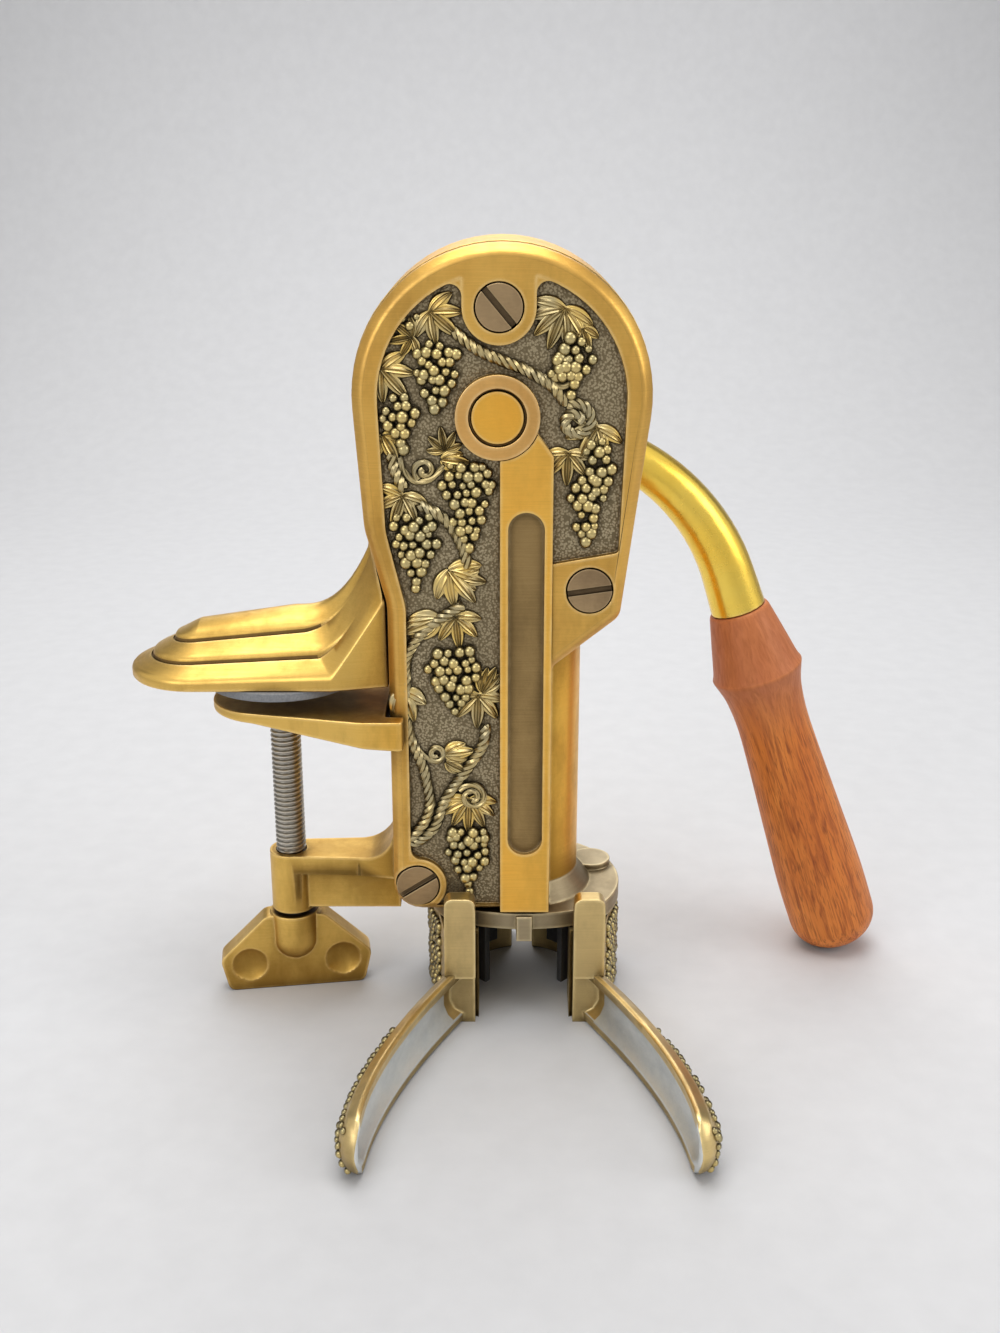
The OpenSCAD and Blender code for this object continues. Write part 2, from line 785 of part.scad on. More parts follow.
module pinion_gear() {
  color("lightsteelblue")
    difference() {
      slab(-gear_front, -gear_back)
        translate(hub)
          polygon([for (k = [0:gear_teeth - 1]) each tooth(180 + 360 * k / gear_teeth)]);
      bar_y(hub, shaft_d / 2 + snug, -gear_front - 1, -gear_back + 1);
    }
}

function arm_radius(s) = arm_root_r + (arm_end_r - arm_root_r) * pow(s, 1.6);
function arm_point(p) = [p[0], lever_y, p[1]];
module arm_sweep() {
  bend_steps = 14;
  full = arm_straight + arm_bend_r * arm_turn * PI / 180 + arm_tail;
  up = [0, 1, 0];
  start = hub + 9 * [cos(arm_slope), -sin(arm_slope)];
  first = ring(arm_point(start), [cos(arm_slope), 0, -sin(arm_slope)], up, arm_radius(0), 20);
  bend = [for (k = [0:bend_steps])
    let (a = arm_slope + arm_turn * k / bend_steps,
         s = (arm_straight + arm_bend_r * (a - arm_slope) * PI / 180) / full)
    ring(arm_point(arm_centre + arm_bend_r * [sin(a), cos(a)]), [cos(a), 0, -sin(a)], up,
         arm_radius(s), 20)];
  tail = ring(arm_point(handle_top), arm_point(handle_way) - [0, lever_y, 0], up,
              arm_end_r, 20);
  skin(concat([first], bend, [tail]));
}

// Moves a shape made along +Z to the handle's axis, from the top of the wood down
module on_handle() {
  translate(arm_point(handle_top))
    rotate([0, 180 - handle_lean, 0])
      children();
}

module lever_arm() {
  color("gold")
    difference() {
      union() {
        bar_y(hub, eye_r, lever_front, lever_front + eye_w);
        arm_sweep();
      }
      translate([hub[0] - square_w / 2 - snug, lever_front - 1, hub[1] - square_w / 2 - snug])
        cube([square_w + 2 * snug, eye_w + 2, square_w + 2 * snug]);
      on_handle()
        translate([0, 0, -stud_in_arm])
          cylinder(r = stud_r + snug, h = stud_in_arm + 1);
    }
}

module lever_screw() {
  head_r = 9.5;
  head_h = 3.5;
  slot = [2 * head_r + 2, 3, 2];
  face = lever_front + eye_w + snug;
  color("saddlebrown")
    difference() {
      union() {
        bar_y(hub, head_r, face, face + head_h);
        bar_y(hub, cover_shank_r, back_d + 4, face + 1);
      }
      translate([hub[0], face + head_h, hub[1]])
        cube(slot, center = true);
    }
}

module handle_stud() {
  color("silver")
    on_handle()
      translate([0, 0, 0.5 - stud_in_arm])
        cylinder(r = stud_r, h = stud_in_arm + stud_in_wood - 1);
}

// Turned profile: distance from the top of the wood and radius
module wood_handle() {
  big = handle_d / 2;
  end_steps = 8;
  flank = handle_l - handle_end_r;
  profile = concat(
    [[arm_end_r - 0.2, 0.1], [arm_end_r + 1.1, 1.4], [big - 0.9, 23.5], [big, 25.6],
     [big - 0.8, 28], [big - 2.7, 35], [big - 3.7, 46], [big - 3.3, 62],
     [big - 1.6, 92], [big - 0.4, 116], [big - 0.5, flank]],
    [for (k = [1:end_steps])
      let (a = 90 * k / end_steps)
      [big - 0.5 - handle_end_r * (1 - cos(a)), flank + handle_end_r * sin(a)]],
    [[0, handle_l]]);
  color("sienna")
    on_handle()
      difference() {
        rotate_extrude()
          polygon(concat([[0, 0.1]], profile));
        cylinder(r = stud_r + snug, h = stud_in_wood);
      }
}

// Rack teeth point to the pinion; a gap faces the pinion's tooth at rest
module rack_teeth() {
  tip_half = rack_pitch / 4 - backlash / 2 - addendum * tan(pressure);
  root_half = rack_pitch / 4 - backlash / 2 + dedendum * tan(pressure);
  high = floor((rack_top - hub_z - root_half) / rack_pitch - 0.5);
  for (k = [-rack_low_teeth:high])
    translate([rack_x, hub_z + (k + 0.5) * rack_pitch])
      polygon([[-dedendum - 0.5, -root_half - 0.1], [addendum, -tip_half],
               [addendum, tip_half], [-dedendum - 0.5, root_half + 0.1]]);
}

module rack_carriage() {
  root_x = rack_x - dedendum;
  color("lightsteelblue")
    difference() {
      union() {
        slab(-gear_front - 0.2, -gear_back + 0.2) {
          polygon([[rack_back, cross_low], [root_x, cross_low], [root_x, rack_top],
                   [root_x - 3, rack_top], [rack_back, rack_top - 7]]);
          rack_teeth();
        }
        translate([0, 0, cross_low])
          linear_extrude(cross_t)
            polygon(outline([
              [rack_back, -gear_front - 0.2, 0.5],
              [root_x + 3, -gear_front - 0.2, 4],
              [cross_side, -cross_back, 5],
              [cross_side, cross_back, 5],
              [-cross_side, cross_back, 5],
              [rack_back, -gear_back + 0.2, 0.5]
            ]));
      }
      bar_z([0, 0], flute_out + running, cross_low - 1, cross_top + 1);
    }
}

module thrust_washer() {
  color("gold")
    difference() {
      bar_z([0, 0], worm_head_r + 0.5, cross_top, cross_top + washer_t);
      bar_z([0, 0], flute_out + running, cross_top - 1, cross_top + washer_t + 1);
    }
}

module worm() {
  rings_per_turn = 10;
  rings = ceil(rings_per_turn * (coil_top - worm_tip) / worm_lead);
  head_z = cross_top + washer_t + 0.1;
  color("silver") {
    skin([for (k = [0:rings])
      let (a = 360 * k / rings_per_turn, point = min(1, 0.2 + 0.8 * k / 8))
      ring([coil_r * cos(a), coil_r * sin(a), worm_tip + worm_lead * k / rings_per_turn],
           unit([-sin(a), cos(a), worm_lead / (2 * PI * coil_r)]), [0, 0, 1],
           worm_wire_d / 2 * point, 8)]);
    bar_z([0, 0], shank_r, coil_top - 4, flute_low + 0.5);
    fluted_bar(flute_low, flute_high, 0);
    bar_z([0, 0], flute_out, flute_high - 0.5, head_z + 1);
    bar_z([0, 0], worm_head_r, head_z, head_z + worm_head_t);
  }
}

module worm_clip() {
  color("dimgray")
    difference() {
      bar_z([0, 0], flute_out + 2.6, cross_low - free_gap - clip_t, cross_low - free_gap);
      bar_z([0, 0], flute_out + snug, cross_low - 4, cross_low);
    }
}

// Section of a grip's handle: the outside bulges away from the neck, the inside is hollow by a share
function grip_section(hollow) =
  let (h = grip_h / 2)
  concat(
    [for (k = [0:6]) let (a = 90 - 30 * k) [6.5 * cos(a), h * sin(a)]],
    [[-1.5, -h + 0.4], [-1.5, -h + grip_rim]],
    [for (k = [1:4]) let (a = -90 + 36 * k) [-1.5 + hollow * grip_hollow * cos(a), (h - grip_rim - 0.6) * sin(a)]],
    [[-1.5, h - grip_rim], [-1.5, h - 0.4]]);
function grip_at(t) =
  (1 - t) * (1 - t) * GRIP_ROUTE[0] + 2 * t * (1 - t) * GRIP_ROUTE[1] + t * t * GRIP_ROUTE[2];
function grip_way(t) =
  unit((1 - t) * (GRIP_ROUTE[1] - GRIP_ROUTE[0]) + t * (GRIP_ROUTE[2] - GRIP_ROUTE[1]));
function grip_ring(p, w, size, hollow) =
  let (out = [w[1], -w[0]], mid = jaw_low + grip_h / 2 + 0.4)
  [for (s = grip_section(hollow))
    [p[0] + out[0] * s[0] * size, p[1] + out[1] * s[0] * size, mid + s[1] * size]];

module grip_handle() {
  end = grip_at(1);
  last_way = grip_way(1);
  body = [for (k = [0:grip_rings]) grip_ring(grip_at(k / grip_rings), grip_way(k / grip_rings), 1, 1)];
  tip = [for (a = [25, 50, 70, 84])
    grip_ring(end + last_way * grip_tip_l * sin(a), last_way, cos(a), max(0.02, 1 - a / 45))];
  skin(concat(body, tip), channel = true);
}

// Rounded post that stands in front of the flange
module grip_ear() {
  slab(ear_front, ear_back)
    polygon(outline([
      [-ear_x - ear_w, ear_low, 0.5],
      [-ear_x, ear_low, 0.5],
      [-ear_x, ear_top, ear_corner],
      [-ear_x - ear_w, ear_top, ear_corner]
    ]));
}

module grip() {
  difference() {
    union() {
      translate([0, 0, jaw_low])
        linear_extrude(jaw_top - jaw_low)
          intersection() {
            circle(r = jaw_outer_r, $fn = 96);
            polygon([[-jaw_split, 40], [-jaw_split, 0], [-jaw_mouth, -10], [-jaw_mouth, -40],
                     [-50, -40], [-50, 40]]);
          }
      bar_z([-pin_x, pin_y], knuckle_r, jaw_low, jaw_top);
      translate([0, 0, jaw_low])
        linear_extrude(jaw_top - jaw_low)
          polygon([[-jaw_mouth - 0.6, -16], [-ear_x - 0.3, ear_back - ear_root],
                   [-ear_x - ear_w + 0.3, ear_back - ear_root], [-jaw_outer_r + 3, -14]]);
      grip_ear();
      grip_handle();
    }
    bar_z([0, 0], jaw_r, jaw_low - 1, jaw_top + 1);
    bar_z([-pin_x, pin_y], pin_d / 2 + running, jaw_low - 1, jaw_top + 1);
    bar_z([-pin_x, pin_y], pocket_r, pocket_low, jaw_top + 1);
    bar_z([-pin_x, pin_y], pin_head_r + free_gap, jaw_low - 1,
          jaw_low + 0.7 + pin_head_t + 0.3);
  }
}

module left_grip() {
  color("darkgoldenrod") grip();
}

module right_grip() {
  color("darkgoldenrod") mirror([1, 0, 0]) grip();
}

// Soft lining of a jaw
module jaw_pad() {
  translate([0, 0, jaw_low + 6])
    linear_extrude(-jaw_low - 9)
      difference() {
        intersection() {
          circle(r = jaw_r - snug, $fn = 96);
          polygon([[0, 0], [-20, 34], [-60, 20], [-60, -20], [-26, -30]]);
        }
        circle(r = jaw_r - jaw_pad_t, $fn = 96);
      }
}

module left_jaw_pad() {
  color("black") jaw_pad();
}

module right_jaw_pad() {
  color("black") mirror([1, 0, 0]) jaw_pad();
}

// Tongue in plan, forked where it straddles the leg
module clamp_jaw() {
  slot_x = -casting_side - 0.9;
  fork_front = -front_d - 0.9;
  fork_back = back_d + 0.9;
  prong_end = -leg_w + prong_reach;
  tip_x = -clamp_x - tongue_end;
  color("goldenrod")
    difference() {
      union() {
        intersection() {
          translate([0, 0, jaw_face - 20])
            linear_extrude(20)
              polygon(outline([
                [prong_end, fork_front - prong_t, 2],
                [prong_end, fork_front, 0.5],
                [slot_x, fork_front, 1],
                [slot_x, fork_back, 1],
                [prong_end, fork_back, 0.5],
                [prong_end, fork_back + prong_t, 2],
                [slot_x - 8, fork_back + prong_t, 10],
                [tip_x, -clamp_y + tongue_half, tongue_half - 0.5],
                [tip_x, -clamp_y - tongue_half, tongue_half - 0.5],
                [slot_x - 8, fork_front - prong_t, 10]
              ]));
          slab(fork_front - prong_t - 1, fork_back + prong_t + 1)
            polygon(outline([
              [tip_x - 1, jaw_face - clamp_jaw_t, 0.3],
              [-clamp_x - 8, jaw_face - clamp_jaw_t - 0.6, 30],
              [slot_x - 6, jaw_face - clamp_jaw_root_t + 1, 30],
              [prong_end + 1, jaw_face - clamp_jaw_root_t, 0.3],
              [prong_end + 1, jaw_face, 0.3],
              [tip_x - 1, jaw_face, 0.3]
            ]));
        }
        bar_z(clamp, jaw_boss_r, jaw_face - jaw_boss_h, jaw_face - 1);
      }
      bar_z(clamp, rivet_neck_r + running, jaw_face - jaw_boss_h - 1, jaw_face + 1);
      bar_z(clamp, rivet_head_r + free_gap, jaw_face - rivet_sink, jaw_face + 1);
    }
}

module clamp_screw() {
  shoulder = jaw_face - jaw_boss_h - 0.3;
  head_z = jaw_face - rivet_sink + 0.3;
  cap_r = (rivet_head_r * rivet_head_r + rivet_head_h * rivet_head_h) / (2 * rivet_head_h);
  color("gray") {
    bar_z(clamp, clamp_screw_d / 2, wing_top - wing_hub_l + 2, shoulder);
    bar_z(clamp, rivet_neck_r, shoulder - 0.5, head_z + 0.1);
    intersection() {
      translate([clamp[0], clamp[1], head_z + rivet_head_h - cap_r])
        sphere(r = cap_r);
      bar_z(clamp, rivet_head_r + 1, head_z, head_z + rivet_head_h + 1);
    }
  }
}

module wing_knob() {
  half = wing_w / 2;
  dimple_ball = (dimple_r * dimple_r + dimple_depth * dimple_depth) / (2 * dimple_depth);
  color("darkgoldenrod")
    translate([clamp[0], clamp[1], 0])
      rotate([0, 0, wing_turn])
        difference() {
          union() {
            slab(-wing_t / 2, wing_t / 2)
              polygon(outline([
                [-half + 3, wing_low, 3],
                [half - 3, wing_low, 3],
                [half, wing_low + 13, 4],
                [wing_hub_r + 2, wing_top - 1, 4],
                [-wing_hub_r - 2, wing_top - 1, 4],
                [-half, wing_low + 13, 4]
              ]));
            bar_z([0, 0], wing_hub_r, wing_top - wing_hub_l, wing_top);
            translate([0, 0, wing_top - wing_hub_l])
              sphere(r = wing_hub_r);
          }
          bar_z([0, 0], clamp_screw_d / 2 + snug, wing_top - wing_hub_l + 1.9, wing_top + 1);
          for (x = [-1, 1], y = [-1, 1])
            translate([x * (half - 11), y * (wing_t / 2 + dimple_ball - dimple_depth),
                       wing_low + 10.5])
              sphere(r = dimple_ball);
        }
}

main_casting();
cover_plate();
cover_screws();
clamp_shoe();
shoe_bolts();
shoe_pad();
neck_guide();
worm_nut();
nut_retainer();
retainer_screws();
grip_pins();
left_grip_spring();
right_grip_spring();
gear_shaft();
pinion_gear();
lever_arm();
lever_screw();
handle_stud();
wood_handle();
rack_carriage();
thrust_washer();
worm();
worm_clip();
left_grip();
left_jaw_pad();
right_grip();
right_jaw_pad();
clamp_jaw();
clamp_screw();
wing_knob();
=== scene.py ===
"""Looks of a countertop corkscrew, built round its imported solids.

Sizes are in millimetres, and in metres where a shader, the floor, a lamp or the camera takes them.
"""

from math import atan2, cos, hypot, pi, radians, sin, sqrt

import bmesh
import bpy
import numpy as np
from mathutils import Matrix, Vector
from mathutils.bvhtree import BVHTree


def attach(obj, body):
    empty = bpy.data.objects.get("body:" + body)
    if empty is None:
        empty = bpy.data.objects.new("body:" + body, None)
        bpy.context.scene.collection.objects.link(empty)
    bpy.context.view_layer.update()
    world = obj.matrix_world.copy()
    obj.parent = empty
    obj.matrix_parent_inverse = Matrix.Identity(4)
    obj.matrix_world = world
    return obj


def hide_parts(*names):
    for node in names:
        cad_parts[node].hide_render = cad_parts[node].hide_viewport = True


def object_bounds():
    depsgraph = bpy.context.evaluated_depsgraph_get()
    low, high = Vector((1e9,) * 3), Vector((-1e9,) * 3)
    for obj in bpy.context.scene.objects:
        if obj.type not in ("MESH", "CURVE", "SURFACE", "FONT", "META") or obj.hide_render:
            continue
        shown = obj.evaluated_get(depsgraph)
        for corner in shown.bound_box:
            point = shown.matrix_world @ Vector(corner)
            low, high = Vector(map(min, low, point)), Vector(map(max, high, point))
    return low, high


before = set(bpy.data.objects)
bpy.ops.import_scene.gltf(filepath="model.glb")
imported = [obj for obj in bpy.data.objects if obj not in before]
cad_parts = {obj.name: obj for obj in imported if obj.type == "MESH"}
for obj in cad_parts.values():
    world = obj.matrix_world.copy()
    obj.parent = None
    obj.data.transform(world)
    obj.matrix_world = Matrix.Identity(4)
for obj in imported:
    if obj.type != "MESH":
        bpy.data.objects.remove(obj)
cad_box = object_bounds()

MM = 0.001
SEED = 11
rng = np.random.default_rng(SEED)
scene = bpy.context.scene

# Places that the solids share with the looks
HUB = (-9.5, 184.5)
FRONT_Y = -30.0
PANEL_Y = -27.5
SLOT_Y = -28.8
FLANGE_TOP = 6.3
DOME = (-8.0, 190.0)
TOP_SCREW = (-9.0, 219.0)
FOOT_SCREW = (-38.0, 17.6)
CLAMP = (-86.4, -4.0)
JAW_OUTER_R = 34.5
HANDLE_TOP = Vector((80.2, 25.9, 104.3))
HANDLE_LEAN = radians(19)

# Rounding of the solids' edges: turns that count as flat and as sharp, how far a face may leave its
# plane, the length of edges too short to keep, and how often it is tried
FLAT_TURN = radians(0.6)
SHARP_TURN = radians(32)
FLAT_WITHIN = 0.04
SLIVER = 0.002
ROUNDING_TRIES = 6


# Nodes

def add(tree, kind, inputs=None, **props):
    """A node with its properties and inputs set; an input may be a value or an output to link."""
    node = tree.nodes.new(kind)
    for key, value in props.items():
        setattr(node, key, value)
    for key, value in (inputs or {}).items():
        if isinstance(value, bpy.types.NodeSocket):
            tree.links.new(value, node.inputs[key])
        else:
            node.inputs[key].default_value = value
    return node


def math_node(tree, operation, a, b=0.0, c=0.0, clamp=False):
    return add(tree, "ShaderNodeMath", {0: a, 1: b, 2: c}, operation=operation, use_clamp=clamp).outputs[0]


def ramp(tree, value, low, high, to_low=0.0, to_high=1.0):
    """A value stretched so that low gives to_low and high gives to_high, held at both ends."""
    return add(tree, "ShaderNodeMapRange",
               {"Value": value, "From Min": low, "From Max": high, "To Min": to_low, "To Max": to_high},
               clamp=True).outputs["Result"]


def mix_colour(tree, factor, a, b):
    """A mix of two tones, each an output or a colour of red, green and blue."""
    a, b = (tone if isinstance(tone, bpy.types.NodeSocket) else (*tone, 1.0) for tone in (a, b))
    return add(tree, "ShaderNodeMix", {0: factor, 6: a, 7: b}, data_type="RGBA").outputs[2]


def overlay(tree, tone, colour, mask, share=1.0):
    """A tone with a colour laid over it where the mask is high, up to a share."""
    if share != 1.0:
        mask = math_node(tree, "MULTIPLY", mask, share)
    return mix_colour(tree, mask, tone, colour)


def blended(a, a_share, b=(0.0, 0.0, 0.0), b_share=0.0):
    """A colour made of shares of two others."""
    return tuple(min(1.0, a_share * x + b_share * y) for x, y in zip(a, b))


def object_coords(tree):
    return add(tree, "ShaderNodeTexCoord").outputs["Object"]


def vector_math(tree, operation, a, b):
    return add(tree, "ShaderNodeVectorMath", {0: a, 1: b}, operation=operation).outputs


def noise_value(tree, vector, scale, detail, **more):
    inputs = {"Vector": vector, "Scale": scale, "Detail": detail, **more}
    return add(tree, "ShaderNodeTexNoise", inputs).outputs[0]


def shader_group(name, inputs, *outputs):
    """An empty shader group, what it is given and what it gives; inputs hold default values."""
    tree = bpy.data.node_groups.new(name, "ShaderNodeTree")
    for key, value in inputs.items():
        kind = "NodeSocketVector" if isinstance(value, tuple) else "NodeSocketFloat"
        tree.interface.new_socket(name=key, in_out="INPUT", socket_type=kind).default_value = value
    for key in outputs:
        tree.interface.new_socket(name=key, in_out="OUTPUT", socket_type="NodeSocketFloat")
    return tree, add(tree, "NodeGroupInput").outputs, add(tree, "NodeGroupOutput").inputs


def wear_and_painted_light_group():
    """Edge marks convex edges for rubbed wear and painted highlights, Cavity marks hollows for painted
    shade with some patina, and the third mask spreads that painted shade further out and adds loose patches
    of tarnish.
    """
    tree, given, gives = shader_group(
        "wear_and_painted_light", {"Edge Width": 0.0008, "Cavity Reach": 0.003}, "Edge", "Cavity", "Tarnish_And_Shade")

    def open_share(distance):
        return add(tree, "ShaderNodeAmbientOcclusion", {"Distance": distance}, samples=6).outputs["AO"]

    bevel = add(tree, "ShaderNodeBevel", {"Radius": given["Edge Width"]}, samples=4)
    normal = add(tree, "ShaderNodeNewGeometry").outputs["Normal"]
    turn = vector_math(tree, "DOT_PRODUCT", bevel.outputs[0], normal)["Value"]
    bend = ramp(tree, turn, 0.999, 0.92)
    # hollows, where painted shade goes, partly patina
    hollow_shade = ramp(tree, open_share(given["Cavity Reach"]), 0.92, 0.30)
    # convex edges, for rubbed wear and painted highlights
    edge_wear_and_highlight = math_node(tree, "MULTIPLY", bend, math_node(tree, "SUBTRACT", 1.0, hollow_shade), clamp=True)
    coords = object_coords(tree)
    patchy = ramp(tree, noise_value(tree, coords, 210.0, 3.0), 0.30, 0.62, 0.45, 1.0)
    upright = vector_math(tree, "MULTIPLY", coords, (1.0, 1.0, 0.45))[0]
    cloud = noise_value(tree, upright, 40.0, 6.0, Roughness=0.66)
    # painted shade that spreads wider from corners; loose adds random patches of tarnish
    wide = open_share(math_node(tree, "MULTIPLY", given["Cavity Reach"], 4.0))
    near = math_node(tree, "MULTIPLY", ramp(tree, wide, 0.985, 0.80),
                     ramp(tree, cloud, 0.35, 0.55, 0.5, 1.0))
    loose = ramp(tree, cloud, 0.46, 0.66, 0.0, 0.6)
    tree.links.new(math_node(tree, "MULTIPLY", edge_wear_and_highlight, patchy), gives["Edge"])
    tree.links.new(hollow_shade, gives["Cavity"])
    tree.links.new(math_node(tree, "MAXIMUM", near, loose), gives["Tarnish_And_Shade"])
    return tree


def brush_marks_group():
    """Fine parallel scratches; Stretch is small along the strokes and large across them."""
    tree, given, gives = shader_group("brush_marks", {"Stretch": (60.0, 60.0, 2200.0)}, "Marks")
    stretched = vector_math(tree, "MULTIPLY", object_coords(tree), given["Stretch"])[0]
    noise = noise_value(tree, stretched, 1.0, 4.0, Roughness=0.65)
    tree.links.new(ramp(tree, noise, 0.25, 0.75), gives["Marks"])
    return tree


def mottle_group():
    """Broad and fine blotches that vary a tone over the surface."""
    tree, given, gives = shader_group("mottle", {"Scale": 45.0}, "Broad", "Fine")
    coords = object_coords(tree)
    fine_scale = math_node(tree, "MULTIPLY", given["Scale"], 14.0)
    for key, scale, detail in (("Broad", given["Scale"], 3.0), ("Fine", fine_scale, 4.0)):
        tree.links.new(ramp(tree, noise_value(tree, coords, scale, detail), 0.3, 0.7), gives[key])
    return tree


def pebble_group():
    """Cast grain: small rounded grains with thin dark seams between them."""
    tree, given, gives = shader_group("pebble_grain", {"Grain Size": 0.0010}, "Height", "Seam")
    coords = object_coords(tree)
    warp = add(tree, "ShaderNodeTexNoise", {"Vector": coords, "Scale": 900.0, "Detail": 2.0})
    shifted = add(tree, "ShaderNodeVectorMath", {0: warp.outputs["Color"], 1: (0.0002,) * 3, 2: coords},
                  operation="MULTIPLY_ADD")
    scale = math_node(tree, "DIVIDE", 1.0, given["Grain Size"])
    cells = add(tree, "ShaderNodeTexVoronoi", {"Vector": shifted.outputs[0], "Scale": scale}, feature="F1")
    distance = cells.outputs["Distance"]
    reach = math_node(tree, "MULTIPLY", distance, 1.35)
    dome = math_node(tree, "SUBTRACT", 1.0, math_node(tree, "MULTIPLY", reach, reach), clamp=True)
    tree.links.new(dome, gives["Height"])
    tree.links.new(ramp(tree, distance, 0.36, 0.60), gives["Seam"])
    return tree


WEAR_AND_PAINTED_LIGHT = wear_and_painted_light_group()
BRUSH = brush_marks_group()
MOTTLE = mottle_group()
PEBBLE = pebble_group()


def group_outputs(tree, group, **inputs):
    """The outputs of a group; an input is named with _ for a space."""
    values = {key.replace("_", " "): value for key, value in inputs.items()}
    return add(tree, "ShaderNodeGroup", values, node_tree=group).outputs


def new_material(name):
    material = bpy.data.materials.new(name)
    material.use_nodes = True
    return material, material.node_tree


def finish(material, tone, roughness, metallic, height, strength, distance, specular=0.5):
    """Gives a material's shader its colour, its roughness and a bump."""
    tree = material.node_tree
    shader = tree.nodes["Principled BSDF"]
    bump = add(tree, "ShaderNodeBump", {"Height": height, "Strength": strength, "Distance": distance})
    for key, value in (("Base Color", tone), ("Roughness", roughness), ("Normal", bump.outputs[0])):
        tree.links.new(value, shader.inputs[key])
    shader.inputs["Metallic"].default_value = metallic
    shader.inputs["Specular IOR Level"].default_value = specular
    return material


def brass(name, gold, mid, dark, rough, stretch=(60.0, 60.0, 2200.0), edge=0.0018, reach=0.003,
          streak=0.25, edge_wear_and_highlight_share=1.0, tarnish_and_shade=0.7, clamp_tone=None):
    """Brushed brass with a brown patina: dark in the hollows with painted shade and patina, gold on its
    edges where it is handled, as rubbed wear and painted highlight.

    With clamp_tone the brass changes to that tone beyond the housing, on the clamp's side.
    """
    material, tree = new_material(name)
    wear_and_light = group_outputs(tree, WEAR_AND_PAINTED_LIGHT, Edge_Width=edge, Cavity_Reach=reach)
    marks = group_outputs(tree, BRUSH, Stretch=stretch)["Marks"]
    tone = overlay(tree, mid, gold, group_outputs(tree, MOTTLE)["Broad"], 0.6)
    if clamp_tone:
        spot = add(tree, "ShaderNodeSeparateXYZ", {0: object_coords(tree)})
        tone = overlay(tree, tone, clamp_tone, ramp(tree, spot.outputs["X"], -0.040, -0.060))
    tone = overlay(tree, tone, blended(mid, 0.66), marks, streak)
    # painted shade spread out from hollows, with loose patches of tarnish
    tone = overlay(tree, tone, blended(mid, 0.30, dark, 0.4), wear_and_light["Tarnish_And_Shade"], tarnish_and_shade)
    # painted shade in hollows, partly patina
    tone = overlay(tree, tone, dark, wear_and_light["Cavity"])
    # painted highlight on edges, with rubbed wear
    tone = overlay(tree, tone, blended(gold, 0.6, EDGE_WEAR_AND_HIGHLIGHT_GOLD, 0.4), wear_and_light["Edge"], edge_wear_and_highlight_share)
    scratched = math_node(tree, "MULTIPLY_ADD", marks, 0.14, rough)
    roughness = math_node(tree, "MULTIPLY_ADD", wear_and_light["Tarnish_And_Shade"], 0.16, scratched)
    return finish(material, tone, roughness, 1.0, marks, 0.12, 0.00008)


def pebbled_brass():
    """Floor of the cover's panel: grained casting, dull pewter-brown, darkened round the ornament by
    painted shade.
    """
    material, tree = new_material("pebbled_panel")
    grain = group_outputs(tree, PEBBLE, Grain_Size=0.0008)
    wear_and_light = group_outputs(tree, WEAR_AND_PAINTED_LIGHT, Edge_Width=0.0004, Cavity_Reach=0.0016)
    broad = group_outputs(tree, MOTTLE, Scale=38.0)["Broad"]
    tone = mix_colour(tree, broad, (0.37, 0.30, 0.18), (0.53, 0.44, 0.28))
    tone = overlay(tree, tone, (0.22, 0.175, 0.10), grain["Seam"])
    # painted shade spread out from the relief, with loose patches of tarnish
    tone = overlay(tree, tone, (0.20, 0.15, 0.085), wear_and_light["Tarnish_And_Shade"], 0.4)
    # painted shade in hollows next to the relief, partly patina
    tone = overlay(tree, tone, (0.05, 0.037, 0.02), wear_and_light["Cavity"])
    roughness = ramp(tree, grain["Seam"], 0.0, 1.0, 0.36, 0.65)
    return finish(material, tone, roughness, 0.9, grain["Height"], 0.5, 0.00025)


def relief_brass(name, side, top, wear_and_sheen_share):
    """Raised ornament: pewter-grey on its sides as painted shade, a painted lit tone where it faces the
    front, painted shade in its grooves, and rubbed gold that is partly painted highlight in patches on what
    faces the front.
    """
    material, tree = new_material(name)
    wear_and_light = group_outputs(tree, WEAR_AND_PAINTED_LIGHT, Edge_Width=0.0005, Cavity_Reach=0.0020)
    mottle = group_outputs(tree, MOTTLE, Scale=75.0)
    normal = add(tree, "ShaderNodeTexCoord").outputs["Normal"]
    outward = vector_math(tree, "DOT_PRODUCT", normal, (0.0, -1.0, 0.0))["Value"]
    painted_light_facing = ramp(tree, outward, 0.20, 0.98)
    patchy = ramp(tree, mottle["Broad"], 0.25, 0.80, 0.1 * wear_and_sheen_share, wear_and_sheen_share)
    wear_and_sheen = math_node(tree, "MULTIPLY", ramp(tree, painted_light_facing, 0.45, 1.0), patchy)
    # painted light: the side tone is a shaded copy and the top tone a lit copy, mixed by how far a face
    # turns to the front
    tone = mix_colour(tree, painted_light_facing, side, top)
    # rubbed gold in patches on front faces: rubbed wear and painted highlight
    tone = overlay(tree, tone, (0.96, 0.66, 0.17), wear_and_sheen)
    # painted shade in grooves, partly patina
    tone = overlay(tree, tone, (0.06, 0.044, 0.022), wear_and_light["Cavity"], 0.72)
    # painted highlight on edges, with rubbed wear
    tone = overlay(tree, tone, (0.88, 0.68, 0.32), wear_and_light["Edge"], 0.4)
    roughness = ramp(tree, wear_and_light["Cavity"], 0.0, 1.0, 0.28, 0.6)
    return finish(material, tone, roughness, 1.0, mottle["Fine"], 0.08, 0.0001)


